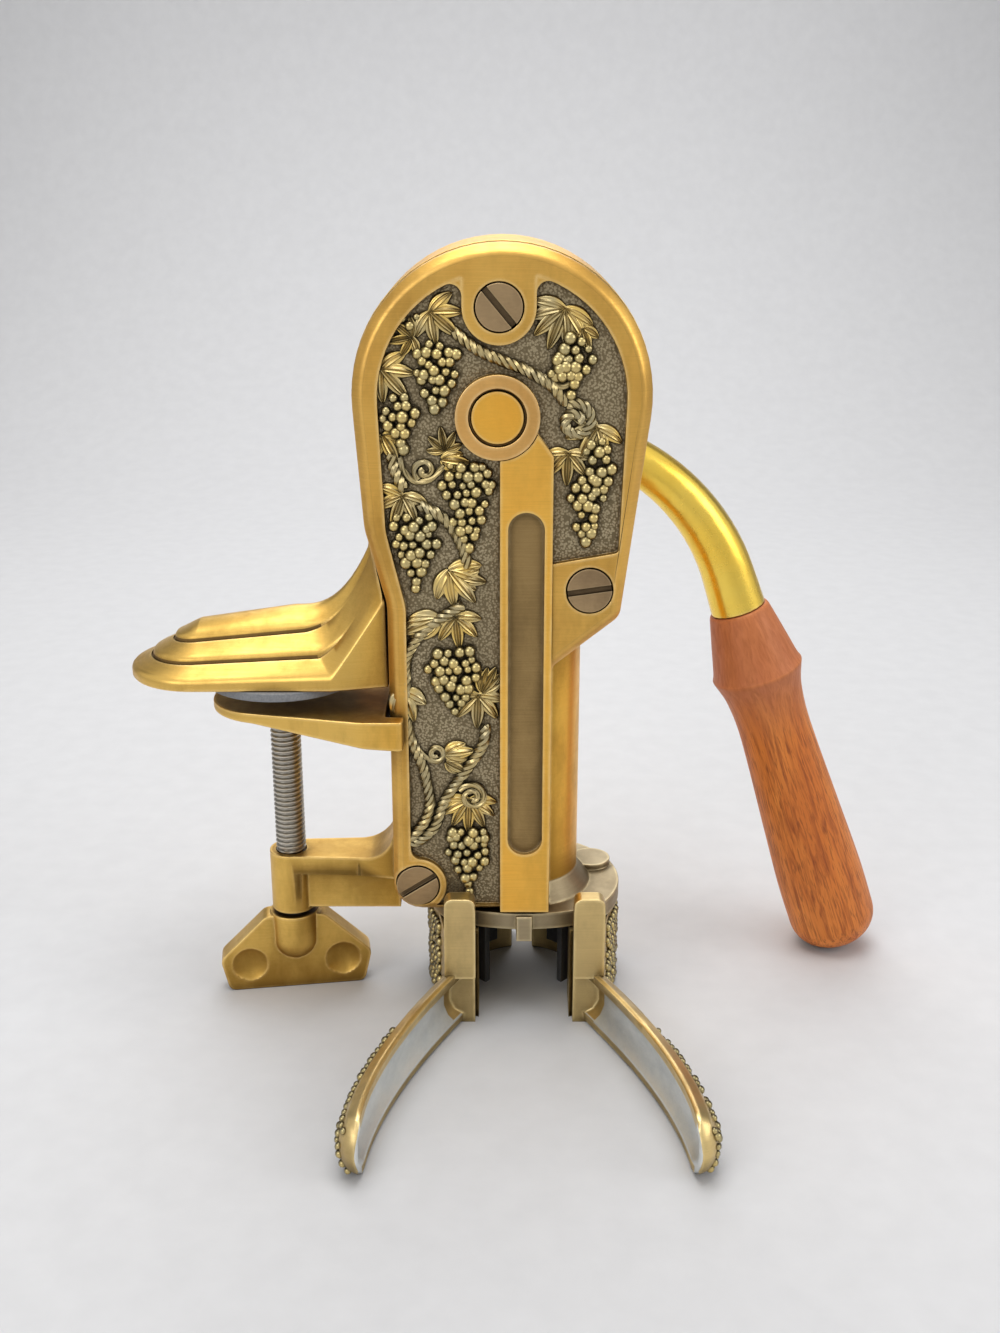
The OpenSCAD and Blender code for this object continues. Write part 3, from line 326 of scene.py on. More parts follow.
def plain_metal(name, light, dark, rough, stretch, reach=0.002):
    """Machined metal with tool marks, painted shade in its corners and painted highlights on its edges."""
    material, tree = new_material(name)
    wear_and_light = group_outputs(tree, WEAR_AND_PAINTED_LIGHT, Edge_Width=0.0004, Cavity_Reach=reach)
    marks = group_outputs(tree, BRUSH, Stretch=stretch)["Marks"]
    tone = overlay(tree, light, dark, marks, 0.5)
    # painted shade in corners
    tone = overlay(tree, tone, blended(dark, 0.3), wear_and_light["Cavity"])
    # painted highlight on edges, with some wear
    tone = overlay(tree, tone, blended(light, 1.25), wear_and_light["Edge"], 0.6)
    roughness = ramp(tree, marks, 0.0, 1.0, rough, rough + 0.15)
    return finish(material, tone, roughness, 1.0, marks, 0.15, 0.00006)


def soft_dull(name, colour, paler, rough):
    """Moulded rubber or plastic with a faint cast grain."""
    material, tree = new_material(name)
    mottle = group_outputs(tree, MOTTLE, Scale=90.0)
    tone = mix_colour(tree, mottle["Fine"], colour, paler)
    roughness = ramp(tree, mottle["Broad"], 0.0, 1.0, rough, rough + 0.12)
    return finish(material, tone, roughness, 0.0, mottle["Fine"], 0.25, 0.00015)


def turned_wood():
    """Reddish hardwood: short grain strokes along the handle, a browner smooth collar, satin varnish."""
    material, tree = new_material("turned_wood")
    top = Matrix.Rotation(HANDLE_LEAN, 3, "Y") @ (HANDLE_TOP * MM)
    upright = {"Vector": object_coords(tree), "Rotation": (0.0, HANDLE_LEAN, 0.0), "Location": -top}
    along = add(tree, "ShaderNodeMapping", upright, vector_type="POINT").outputs[0]
    down = add(tree, "ShaderNodeSeparateXYZ", {0: along}).outputs["Z"]
    body = ramp(tree, down, -0.028, -0.052)

    def noise(stretch, detail, distortion):
        stretched = vector_math(tree, "MULTIPLY", along, stretch)[0]
        return noise_value(tree, stretched, 1.0, detail, Distortion=distortion)

    def on_body(mask, collar_share, body_share):
        """A mask that counts less on the collar than on the body."""
        return math_node(tree, "MULTIPLY", mask, ramp(tree, body, 0, 1, collar_share, body_share))

    rings = ramp(tree, noise((75.0, 75.0, 6.0), 2.0, 1.2), 0.35, 0.65)
    grain = noise((620.0, 620.0, 52.0), 4.0, 0.8)
    pores = ramp(tree, noise((1700.0, 1700.0, 150.0), 2.0, 0.3), 0.54, 0.66)
    stroke = on_body(ramp(tree, grain, 0.46, 0.68), 0.35, 0.8)
    wear_and_light = group_outputs(tree, WEAR_AND_PAINTED_LIGHT, Edge_Width=0.0016, Cavity_Reach=0.004)
    tone = mix_colour(tree, rings, (0.66, 0.185, 0.030), (0.84, 0.285, 0.052))
    tone = overlay(tree, tone, (0.36, 0.082, 0.017), stroke)
    tone = overlay(tree, tone, (0.17, 0.036, 0.011), on_body(pores, 0.12, 0.5))
    clear_grain = ramp(tree, grain, 0.3, 0.7)
    brown = mix_colour(tree, clear_grain, (0.56, 0.190, 0.080), (0.45, 0.140, 0.053))
    tone = overlay(tree, tone, brown, ramp(tree, body, 0, 1, 0.8, 0.0))
    # painted highlight on the collar's edges, with some wear
    tone = overlay(tree, tone, (0.86, 0.33, 0.08), wear_and_light["Edge"], 0.7)
    # painted shade in hollows
    tone = overlay(tree, tone, (0.06, 0.014, 0.006), wear_and_light["Cavity"], 0.7)
    roughness = ramp(tree, grain, 0.3, 0.7, 0.42, 0.54)
    hollows = math_node(tree, "SUBTRACT", math_node(tree, "MULTIPLY", pores, -0.6), stroke)
    return finish(material, tone, roughness, 0.0, hollows, 0.18, 0.00025, specular=0.35)


GOLD = (1.00, 0.62, 0.12)
MID = (0.90, 0.48, 0.075)
# DARK is the tone of painted shade in hollows, partly patina
DARK = (0.10, 0.055, 0.016)
DULL_DARK = (0.08, 0.055, 0.025)
# painted highlight with rubbed wear on edges
EDGE_WEAR_AND_HIGHLIGHT_GOLD = (1.00, 0.86, 0.52)
LONG_STROKES = (60.0, 60.0, 2400.0)
ROUND_STROKES = (300.0, 300.0, 1400.0)

# long reach and a strong third mask spread painted shade widely from hollows
BRASS = brass("antique_brass", GOLD, MID, DARK, 0.27, reach=0.005, tarnish_and_shade=0.85,
              clamp_tone=(0.80, 0.52, 0.135))
BELL = brass("bell_brass", (0.60, 0.48, 0.29), (0.36, 0.29, 0.18), DULL_DARK, 0.30,
             (60.0, 60.0, 900.0), streak=0.3)
COVER_RIM = brass("brushed_cover", (0.96, 0.60, 0.15), (0.75, 0.42, 0.09), DARK, 0.30,
                  LONG_STROKES, streak=0.35)
RIB_FACE = brass("brushed_rib", (1.00, 0.62, 0.13), (1.00, 0.53, 0.085), DARK, 0.32,
                 LONG_STROKES, streak=0.35, tarnish_and_shade=0.5)
COPPER = brass("copper_boss", (1.00, 0.60, 0.11), (1.00, 0.51, 0.070), DARK, 0.30,
               ROUND_STROKES, tarnish_and_shade=0.35)
HUB_RING = brass("hub_ring", (0.96, 0.58, 0.20), (0.80, 0.44, 0.13), DARK, 0.28,
                 ROUND_STROKES, streak=0.3)
# painted shade at the roots of the shoe's steps, partly patina
STEP_ROOT_SHADE = brass("step_root_painted_shade", (0.50, 0.31, 0.10), (0.24, 0.14, 0.045), DARK, 0.40, edge_wear_and_highlight_share=0.2)
SLOT_FLOOR = brass("slot_floor", (0.52, 0.35, 0.14), (0.36, 0.24, 0.10), (0.07, 0.045, 0.02),
                   0.40, (60.0, 60.0, 1800.0), streak=0.35)
GRIP_BRASS = brass("grip_brass", (0.92, 0.70, 0.30), (0.60, 0.44, 0.20), DULL_DARK, 0.28)
ARM_GOLD = brass("polished_arm", (1.00, 0.76, 0.16), (1.00, 0.66, 0.09), (0.30, 0.15, 0.03),
                 0.17, (160.0, 160.0, 160.0), streak=0.12, tarnish_and_shade=0.1)
BRONZE = brass("dark_bronze", (0.60, 0.42, 0.22), (0.31, 0.21, 0.115), (0.03, 0.02, 0.012),
               0.34, (300.0, 300.0, 900.0), edge=0.0005, streak=0.3, edge_wear_and_highlight_share=0.6, tarnish_and_shade=0.5)
STEEL = plain_metal("machined_steel", (0.62, 0.58, 0.50), (0.34, 0.31, 0.27), 0.30,
                    (80.0, 80.0, 1600.0))
# long reach spreads painted shade far into the grip's hollow
ZINC = plain_metal("bare_zinc", (0.92, 0.93, 0.91), (0.42, 0.46, 0.48), 0.42,
                   (150.0, 60.0, 150.0), 0.012)
# Relief tones: a painted shaded tone for sides, a painted lit tone for front faces, and the share of rubbed
# gold that is partly painted highlight
GRAPE_METAL = relief_brass("grape_metal", (0.10, 0.082, 0.045), (0.54, 0.46, 0.24), 0.45)
LEAF_METAL = relief_brass("leaf_metal", (0.14, 0.11, 0.06), (0.60, 0.50, 0.27), 0.95)
VINE_METAL = relief_brass("vine_metal", (0.11, 0.09, 0.052), (0.44, 0.38, 0.23), 0.30)
WOOD = turned_wood()
BLACK_PLASTIC = soft_dull("black_plastic", (0.012, 0.012, 0.012), (0.022, 0.022, 0.023), 0.50)
BLACK_RUBBER = soft_dull("black_rubber", (0.016, 0.016, 0.016), (0.030, 0.030, 0.031), 0.62)
GREY_PAD = soft_dull("grey_pad", (0.20, 0.205, 0.215), (0.29, 0.295, 0.305), 0.60)


# Meshes

def smooth(mesh, angle=32):
    mesh.shade_smooth()
    mesh.set_sharp_from_angle(angle=radians(angle))


def place(obj, body, slot, *nodes):
    """Rides a piece on its body and hides the solids that it stands for; the finish named in slot is not
    used.
    """
    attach(obj, body)
    if nodes:
        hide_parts(*nodes)
    return obj


def new_object(name, data, *materials):
    for material in materials:
        data.materials.append(material)
    obj = bpy.data.objects.new(name, data)
    scene.collection.objects.link(obj)
    return obj


def mesh_object(name, verts, faces, *materials):
    mesh = bpy.data.meshes.new(name)
    mesh.from_pydata([tuple(c * MM for c in v) for v in verts], [], faces)
    mesh.validate()
    smooth(mesh)
    return new_object(name, mesh, *materials)


def even_object(name, bm, *materials):
    """An object from a rounded mesh, shaded so that its flat faces stay flat."""
    mesh = bpy.data.meshes.new(name)
    bm.to_mesh(mesh)
    bm.free()
    smooth(mesh, 40)
    obj = new_object(name, mesh, *materials)
    obj.modifiers.new("even_shading", "WEIGHTED_NORMAL").keep_sharp = True
    return obj


def ring_faces(rings, around):
    """Quads that join rings of points, one ring to the next."""
    return [(k * around + i, k * around + (i + 1) % around,
             (k + 1) * around + (i + 1) % around, (k + 1) * around + i)
            for k in range(rings - 1) for i in range(around)]


def tidy_mesh(obj, angle):
    """Merges points that meet, turns all faces outward and sets the shading."""
    bm = bmesh.new()
    bm.from_mesh(obj.data)
    bmesh.ops.remove_doubles(bm, verts=bm.verts, dist=SLIVER * MM)
    bmesh.ops.recalc_face_normals(bm, faces=bm.faces)
    bm.to_mesh(obj.data)
    bm.free()
    smooth(obj.data, angle)


def smooth_path(points, step=0.5):
    """Points of a Catmull-Rom curve through the given points, about a step apart."""
    ends = [2 * points[0] - points[1]] + points + [2 * points[-1] - points[-2]]
    out = []
    for k in range(1, len(ends) - 2):
        a, b, c, d = ends[k - 1:k + 3]
        count = max(2, int((c - b).length / step))
        for i in range(count):
            t = i / count
            out.append(0.5 * (2 * b + (c - a) * t + (2 * a - 5 * b + 4 * c - d) * t * t
                              + (3 * b - a - 3 * c + d) * t ** 3))
    out.append(points[-1])
    return out


def away_from(edges, spots, reach):
    """The edges that pass no spot within reach."""
    if not spots:
        return edges
    ends = np.array([[v.co for v in e.verts] for e in edges])
    run = (ends[:, 1] - ends[:, 0])[:, None]
    lead = np.array(spots)[None] - ends[:, None, 0]
    share = np.clip((lead * run).sum(-1) / (run * run).sum(-1), 0.0, 1.0)
    gaps = np.linalg.norm(lead - share[..., None] * run, axis=-1).min(axis=1)
    return [e for e, gap in zip(edges, gaps) if gap > reach]


def folded_spots(bm, solid):
    """Places where a small face is turned against the solid, or a large one isn't flat."""
    spots = []
    for face in bm.faces:
        centre = face.calc_center_median()
        if len(face.verts) > 4:
            off_plane = [(v.co - centre).dot(face.normal) for v in face.verts]
            spots += [v.co.copy() for v, off in zip(face.verts, off_plane) if abs(off) > FLAT_WITHIN * MM]
        elif face.normal.dot(solid.find_nearest(centre)[1]) < -0.1:
            spots.append(centre)
    return spots


def rounded(node, bevel, merge, crowded, reach):
    """A node's solid with its sharp edges rounded, save near crowded spots, and the spots that fold."""
    bm = bmesh.new()
    bm.from_mesh(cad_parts[node].data)
    bmesh.ops.remove_doubles(bm, verts=bm.verts, dist=merge * MM)
    bmesh.ops.dissolve_limit(bm, angle_limit=FLAT_TURN, verts=bm.verts, edges=bm.edges)
    bm.normal_update()
    solid = BVHTree.FromBMesh(bm)
    sharp = [e for e in bm.edges if len(e.link_faces) == 2 and e.calc_face_angle(0.0) > SHARP_TURN]
    bmesh.ops.bevel(bm, geom=away_from(sharp, crowded, reach * MM), offset=bevel * MM,
                    offset_type="OFFSET", segments=2, profile=0.6, affect="EDGES", clamp_overlap=False)
    bmesh.ops.dissolve_degenerate(bm, dist=SLIVER * MM, edges=bm.edges)
    bm.normal_update()
    return bm, folded_spots(bm, solid)


def dressed(node, body, slot, materials, bevel=0.3, pick=None, merge=0.004):
    """A copy of a node's solid, its edges rounded where there is room; pick gives a face's material."""
    bm, folds = rounded(node, bevel, merge, [], 0.0)
    crowded = []
    for attempt in range(ROUNDING_TRIES):
        if not folds:
            break
        bm.free()
        crowded += folds
        bm, folds = rounded(node, bevel, merge, crowded, bevel * (1.0 + 0.5 * attempt))
    if pick:
        for face in bm.faces:
            face.material_index = pick(face.calc_center_median() / MM, face.normal)
    return place(even_object(node + "_dressed", bm, *materials), body, slot, node)


def cover_pick(centre, normal):
    """Panel floor, rib, slot floor, hub ring and rim of the cover."""
    if normal.y > -0.9:
        return 0
    if abs(centre.y - PANEL_Y) < 0.2:
        return 1
    if abs(centre.y - SLOT_Y) < 0.2 and abs(centre.x) < 7:
        return 3
    if hypot(centre.x - HUB[0], centre.z - HUB[1]) < 14.5:
        return 4
    if abs(centre.x) < 8.8 and centre.z < 175:
        return 2
    return 0


def casting_pick(centre, _normal):
    """Duller metal on the bell's flange and on the flare above it."""
    return int(centre.z < FLANGE_TOP + 8.5 and centre.x > -40)


def grip_pick(side):
    """Bare metal in the hollow between the rims of a grip's handle."""
    def pick(centre, normal):
        if centre.y > -36.5 or not -33.2 < centre.z < -16.8:
            return 0
        rim = (centre.z < -30 and normal.z > 0.3) or (centre.z > -20 and normal.z < -0.3)
        return int(rim or normal.x * side < -0.15)
    return pick


dressed("main_casting", "frame", "antique_brass", [BRASS, BELL], 0.3, casting_pick, 0.03)
dressed("cover_plate", "frame", "antique_brass",
        [COVER_RIM, pebbled_brass(), RIB_FACE, SLOT_FLOOR, HUB_RING], 0.3, cover_pick)
dressed("cover_screws", "frame", "dark_bronze", [BRONZE], 0.25)
dressed("gear_shaft", "lever", "antique_brass", [COPPER], 0.3)
dressed("lever_arm", "lever", "bright_brass", [ARM_GOLD], 0.5)
dressed("lever_screw", "lever", "dark_bronze", [BRONZE], 0.3)
dressed("clamp_jaw", "jaw", "antique_brass", [BRASS], 0.4, merge=0.03)
dressed("wing_knob", "clamp_screw_body", "antique_brass", [BRASS], 0.4)
dressed("left_grip", "left_grip_body", "antique_brass", [GRIP_BRASS, ZINC], 0.5, grip_pick(-1))
dressed("right_grip", "right_grip_body", "antique_brass", [GRIP_BRASS, ZINC], 0.5, grip_pick(1))
dressed("shoe_pad", "frame", "grey_rubber", [GREY_PAD], 0.4)
dressed("neck_guide", "frame", "black_plastic", [BLACK_PLASTIC], 0.3)
dressed("left_jaw_pad", "left_grip_body", "black_rubber", [BLACK_RUBBER], 0.3)
dressed("right_jaw_pad", "right_grip_body", "black_rubber", [BLACK_RUBBER], 0.3)
PLAIN_NODES = {
    STEEL: ["pinion_gear", "rack_carriage", "worm", "worm_clip", "nut_retainer", "retainer_screws",
            "shoe_bolts", "grip_pins", "handle_stud", "left_grip_spring", "right_grip_spring"],
    ARM_GOLD: ["worm_nut", "thrust_washer"],
}
for metal, nodes in PLAIN_NODES.items():
    for node_name in nodes:
        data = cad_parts[node_name].data
        data.materials.clear()
        data.materials.append(metal)


# Rib

def arc(centre, radius, start, end, count=10):
    """Points of an arc about a centre, from one angle to another in radians."""
    angles = [start + (end - start) * k / count for k in range(count + 1)]
    return [(centre[0] + radius * cos(a), centre[1] + radius * sin(a)) for a in angles]


def cover_plates(name, plates, back, front, material):
    """Flat plates in the cover's plane, each a list of loops of x, z points: an outline and its holes."""
    bm = bmesh.new()
    for loops in plates:
        edges = []
        for loop in loops:
            points = [bm.verts.new((x * MM, front * MM, z * MM)) for x, z in loop]
            edges += [bm.edges.new(pair) for pair in zip(points, points[1:] + points[:1])]
        bmesh.ops.triangle_fill(bm, edges=edges, use_beauty=True)
    extruded = bmesh.ops.extrude_face_region(bm, geom=bm.faces[:])["geom"]
    bmesh.ops.translate(bm, vec=(0, (back - front) * MM, 0),
                        verts=[v for v in extruded if isinstance(v, bmesh.types.BMVert)])
    bmesh.ops.recalc_face_normals(bm, faces=bm.faces)
    sharp = [e for e in bm.edges if e.calc_face_angle(0.0) > radians(50)]
    bmesh.ops.bevel(bm, geom=sharp, offset=0.3 * MM, offset_type="OFFSET", segments=2, profile=0.5,
                    affect="EDGES", clamp_overlap=True)
    bmesh.ops.dissolve_degenerate(bm, dist=SLIVER * MM, edges=bm.edges)
    return place(even_object(name, bm, material), "frame", "antique_brass")


def raised_rib():
    """The rib's face, a little proud of the cover, from the flange to the hub ring, round its slot."""
    half, low, high, ring_r = 8.7, FLANGE_TOP + 1.0, 172.0, 13.95
    slot_half, slot_low, slot_high = 6.0, 36.0, 147.5
    outline = [(-half, low), (half, low), (half, high)]
    outline += arc(HUB, ring_r, radians(-22.8), radians(-86.7))
    hole = arc((0.0, slot_high), slot_half, 0.0, pi, 16)
    hole += arc((0.0, slot_low), slot_half, pi, 2 * pi, 16)
    return cover_plates("raised_rib", [[outline, hole]], FRONT_Y + 0.3, FRONT_Y - 0.7, RIB_FACE)


def tongue_web(side):
    """Rounds the corner where a side of the top screw's tongue runs into the dome's rim."""
    rim_r, web_r, lap = 40.0, 3.6, 0.25
    flank = TOP_SCREW[0] + side * 11.8
    x = flank + side * web_r
    z = DOME[1] + sqrt((rim_r - web_r) ** 2 - (x - DOME[0]) ** 2)
    out = atan2(z - DOME[1], x - DOME[0])
    inner = flank - side * lap
    corner = DOME[1] + sqrt((rim_r + lap) ** 2 - (inner - DOME[0]) ** 2)
    curve = arc((x, z), web_r, pi if side > 0 else 0.0, out)
    end = atan2(corner - DOME[1], inner - DOME[0])
    return [(inner, z)] + curve + arc(DOME, rim_r + lap, out, end, 4)


def foot_web():
    """Rounds the corner where the foot screw's boss runs into the leg's rim."""
    rim_x, boss_r, web_r, lap = -40.2, 10.3, 4.0, 0.25
    x = rim_x + web_r
    z = FOOT_SCREW[1] + sqrt((boss_r + web_r) ** 2 - (x - FOOT_SCREW[0]) ** 2)
    down = atan2(FOOT_SCREW[1] - z, FOOT_SCREW[0] - x) + 2 * pi
    low = FOOT_SCREW[1] + boss_r - lap
    curve = arc((x, z), web_r, pi, down)
    return [(rim_x - lap, z)] + curve + [(rim_x + 4.0, low - 0.4), (rim_x - lap, low - 0.8)]


raised_rib()
WEBS = [[tongue_web(-1)], [tongue_web(1)], [foot_web()]]
cover_plates("panel_webs", WEBS, PANEL_Y + 0.3, FRONT_Y + 0.03, COVER_RIM)


# Turned handle

def turned_handle():
    """Rings turned about the handle's axis: a cone to the collar's ridge, a waist and a rounded end."""
    axis = Vector((sin(HANDLE_LEAN), 0.0, -cos(HANDLE_LEAN)))
    across = (Vector((cos(HANDLE_LEAN), 0.0, sin(HANDLE_LEAN))), Vector((0.0, 1.0, 0.0)))
    cone = [(6.3, 0.1), (10.0, 0.1), (10.7, 0.35), (11.1, 0.9), (11.45, 1.7), (13.8, 12.0), (16.1, 22.4)]
    ridge = [(16.1, 22.4), (16.75, 24.6), (17.2, 25.6), (16.75, 27.2), (15.5, 31.0)]
    flank = [(15.5, 31.0), (14.5, 35.4), (13.6, 46.0), (14.0, 62.0), (15.6, 92.0), (16.75, 116.0),
             (16.75, 134.0)]
    end = [(4.75 + 12.0 * cos(radians(a)), 134.0 + 12.0 * sin(radians(a)))
           for a in range(8, 91, 7)] + [(0.0, 146.0)]
    profile = cone[:-1] + [(p.x, p.z) for part in (ridge, flank)
                           for p in smooth_path([Vector((r, 0.0, s)) for r, s in part], 1.2)] + end
    around = 72
    verts = [tuple(HANDLE_TOP + axis * s + across[0] * (r * cos(2 * pi * i / around))
                   + across[1] * (r * sin(2 * pi * i / around)))
             for r, s in profile for i in range(around)]
    faces = ring_faces(len(profile), around) + [tuple(range(around))]
    obj = mesh_object("turned_handle", verts, faces, WOOD)
    tidy_mesh(obj, 50)
    return place(obj, "lever", "wood", "wood_handle")


turned_handle()


# Clamp screw with its thread

def threaded_bar():
    """Plain column whose radius follows a right-hand thread, with a neck and a domed head."""
    pitch, crest, root = 1.814, 5.5, 4.72
    low, high, around, per_turn = -13.0, 73.0, 40, 10
    head_z = 81.5
    rows = int((high - low) / pitch * per_turn)
    angles = [2 * pi * i / around for i in range(around)]

    def at(radius, angle, z):
        return (CLAMP[0] + radius * cos(angle), CLAMP[1] + radius * sin(angle), z)

    verts = []
    for j in range(rows + 1):
        z = low + (high - low) * j / rows
        fade = min(1.0, (high - z) / 2.0 + 0.15)
        for i, angle in enumerate(angles):
            phase = (z / pitch - i / around) % 1.0
            ridge = min(1.0, max(0.0, 1.55 - 4.2 * abs(phase - 0.5)))
            verts.append(at(root + (crest - root) * ridge * fade, angle, z))
    top = [(5.3, 73.6), (5.3, 74.6), (4.9, 74.75), (4.0, 74.8), (4.0, 81.55), (5.2, 81.6), (4.9, 82.1),
           (3.9, 82.7), (2.4, 83.05), (0.9, 83.2)]
    verts += [at(radius, angle, z) for radius, z in top for angle in angles]
    levels = rows + 1 + len(top)
    faces = ring_faces(levels, around)
    faces.append(tuple(reversed(range(around))))
    faces.append(tuple((levels - 1) * around + i for i in range(around)))
    screw = mesh_object("threaded_clamp_screw", verts, faces, STEEL, GRIP_BRASS)
    for face in screw.data.polygons:
        face.material_index = int(face.center.z > head_z * MM)
    return place(screw, "clamp_screw_body", "steel", "clamp_screw")


threaded_bar()


# Stepped shoe

def shoe():
    """Rings from the rim to a domed crown, with two steps that fade out where the shoe sweeps up."""
    side, tip, half_width, neck, bed = -47.2, -139.2, 25.0, 20.0, 90.6
    crown_inset, crown_foot, crown_run = 16.4, 15.4, 20.0
    painted_shade_rings, sweep_run = (7, 8, 9, 15, 16, 17), 24.0
    steps = [(0.4, 0.0), (0.0, 0.5), (0.0, 2.6), (0.25, 3.4), (0.8, 4.1), (1.6, 4.7), (4.6, 6.3),
             (6.9, 7.5), (7.15, 7.0), (7.5, 7.0), (7.7, 8.5), (7.95, 9.2), (8.4, 9.8), (9.3, 10.4),
             (12.4, 12.0), (14.9, 13.15), (15.15, 12.65), (15.5, 12.65), (15.7, 14.2), (15.95, 14.85),
             (16.4, 15.4), (17.0, 16.3), (18.0, 17.5), (19.4, 18.6), (21.0, 19.5), (22.6, 20.1),
             (24.6, 20.4)]
    flank, nose_steps = 26, 40
    verts = []
    for inset, height in steps:
        half = half_width - inset
        near = (side + 1.0, max(0.25, neck - 1.1 * inset))
        bend = (side - 19.0 - 0.68 * inset, half)
        edge = [(near[0] + (bend[0] - near[0]) * k / flank, near[1] + (bend[1] - near[1]) * k / flank)
                for k in range(flank + 1)]
        angles = [pi * (0.5 + k / nose_steps) for k in range(nose_steps + 1)]
        ring = edge + [(tip + half_width + half * cos(a), half * sin(a)) for a in angles]
        ring += [(x, -y) for x, y in reversed(edge)]
        middle = min(1.0, inset / 16.0)
        foot = side - 19.8 - 13.0 * middle
        crest = side - 1.2 - 3.6 * middle
        slope = 4.0 + 0.70 * inset
        for x, y in ring:
            share = max(0.0, min(1.0, (x - foot) / (crest - foot)))
            level = height + (slope - height) * min(1.0, 1.6 * share) if 1.0 < inset < 16.5 else height
            if inset > crown_inset:
                run = max(0.0, min(1.0, (x - tip - crown_inset) / crown_run))
                level = crown_foot + (level - crown_foot) * (0.15 + 0.85 * sin(0.5 * pi * run))
            level += 0.1 * middle * (min(x, foot) - tip - half_width)
            z = bed + level + (27.0 * share ** (1.0 + 1.6 * middle) if height > 1.0 else 0.0)
            verts.append((min(x, side - 0.36 * max(0.0, z - 119.5)), CLAMP[1] + y, z))
    n = len(verts) // len(steps)
    faces = ring_faces(len(steps), n)
    last = (len(steps) - 1) * n
    for i in range(n // 2 - 1):
        faces.append((i, n - 1 - i, n - 2 - i, i + 1))
        faces.append((last + i, last + i + 1, last + n - 2 - i, last + n - 1 - i))
    nose = n // 2
    faces.append((nose - 1, nose + 1, nose))
    faces.append((last + nose - 1, last + nose, last + nose + 1))
    obj = mesh_object("stepped_shoe", verts, faces, BRASS, STEP_ROOT_SHADE)
    # faces at the steps' roots, before the sweep up, get the painted shade
    for ring in painted_shade_rings:
        for face in obj.data.polygons[ring * n:(ring + 1) * n]:
            face.material_index = int(face.center.x < (side - sweep_run) * MM)
    tidy_mesh(obj, 38)
    return place(obj, "frame", "antique_brass", "clamp_shoe")


shoe()


# Vine relief

def spiral(centre, start_r, end_r, turns, start_angle, hand=1, rise=0.5):
    """Points of x, z and a rise along a spiral, from one radius to another."""
    steps = int(abs(turns) * 22)
    points = []
    for k in range(steps + 1):
        radius = start_r + (end_r - start_r) * k / steps
        angle = radians(start_angle) + hand * 2 * pi * turns * k / steps
        points.append((centre[0] + radius * cos(angle), centre[1] + radius * sin(angle), rise))
    return points


def geometry_tree(name, inputs):
    """An empty Geometry Nodes tree, what it is given and what it gives."""
    tree = bpy.data.node_groups.new(name, "GeometryNodeTree")
    kinds = {"Geometry": "NodeSocketGeometry", **dict.fromkeys(inputs, "NodeSocketFloat"),
             "Material": "NodeSocketMaterial"}
    for key, kind in kinds.items():
        tree.interface.new_socket(name=key, in_out="INPUT", socket_type=kind)
    tree.interface.new_socket(name="Geometry", in_out="OUTPUT", socket_type="NodeSocketGeometry")
    return tree, add(tree, "NodeGroupInput").outputs, add(tree, "NodeGroupOutput").inputs


def give_geometry(tree, given, gives, geometry):
    """Makes instances real, sets the given material and hands the geometry out."""
    real = add(tree, "GeometryNodeRealizeInstances", {"Geometry": geometry})
    coated = add(tree, "GeometryNodeSetMaterial",
                 {"Geometry": real.outputs[0], "Material": given["Material"]})
    tree.links.new(coated.outputs[0], gives[0])


def rope_tree():
    """Strands laid round each path, like a twisted vine."""
    tree, given, gives = geometry_tree("twisted_vine", ["Strand Radius", "Lay Radius", "Turns per Metre"])
    curve = add(tree, "GeometryNodeMeshToCurve", {"Mesh": given["Geometry"]})
    even = add(tree, "GeometryNodeResampleCurve",
               {"Curve": curve.outputs[0], "Length": 0.0005}, mode="LENGTH")
    along = add(tree, "GeometryNodeSplineParameter").outputs["Length"]
    normal = add(tree, "GeometryNodeInputNormal").outputs[0]
    tangent = add(tree, "GeometryNodeInputTangent").outputs[0]
    profile = add(tree, "GeometryNodeCurvePrimitiveCircle",
                  {"Resolution": 7, "Radius": given["Strand Radius"]})
    turn = math_node(tree, "MULTIPLY", along, given["Turns per Metre"])
    join = add(tree, "GeometryNodeJoinGeometry")
    for strand in range(3):
        angle = math_node(tree, "MULTIPLY", math_node(tree, "ADD", turn, strand / 3), 2 * pi)
        spoke = add(tree, "ShaderNodeVectorRotate", {"Vector": normal, "Axis": tangent, "Angle": angle},
                    rotation_type="AXIS_ANGLE")
        offset = add(tree, "ShaderNodeVectorMath",
                     {0: spoke.outputs[0], "Scale": given["Lay Radius"]}, operation="SCALE")
        moved = add(tree, "GeometryNodeSetPosition",
                    {"Geometry": even.outputs[0], "Offset": offset.outputs[0]})
        tube = add(tree, "GeometryNodeCurveToMesh",
                   {"Curve": moved.outputs[0], "Profile Curve": profile.outputs[0], "Fill Caps": True})
        tree.links.new(tube.outputs[0], join.inputs[0])
    give_geometry(tree, given, gives, join.outputs[0])
    return tree


def bead_tree():
    """A round bead on every point, sized by the point's bead_radius."""
    tree, given, gives = geometry_tree("grape_beads", [])
    bead = add(tree, "GeometryNodeMeshUVSphere", {"Radius": 1.0, "Segments": 12, "Rings": 7})
    radius = add(tree, "GeometryNodeInputNamedAttribute", {"Name": "bead_radius"}, data_type="FLOAT")
    points = add(tree, "GeometryNodeMeshToPoints", {"Mesh": given["Geometry"]})
    placed = add(tree, "GeometryNodeInstanceOnPoints",
                 {"Points": points.outputs[0], "Instance": bead.outputs[0], "Scale": radius.outputs[0]})
    give_geometry(tree, given, gives, placed.outputs[0])
    return tree


ROPE = rope_tree()
BEADS = bead_tree()


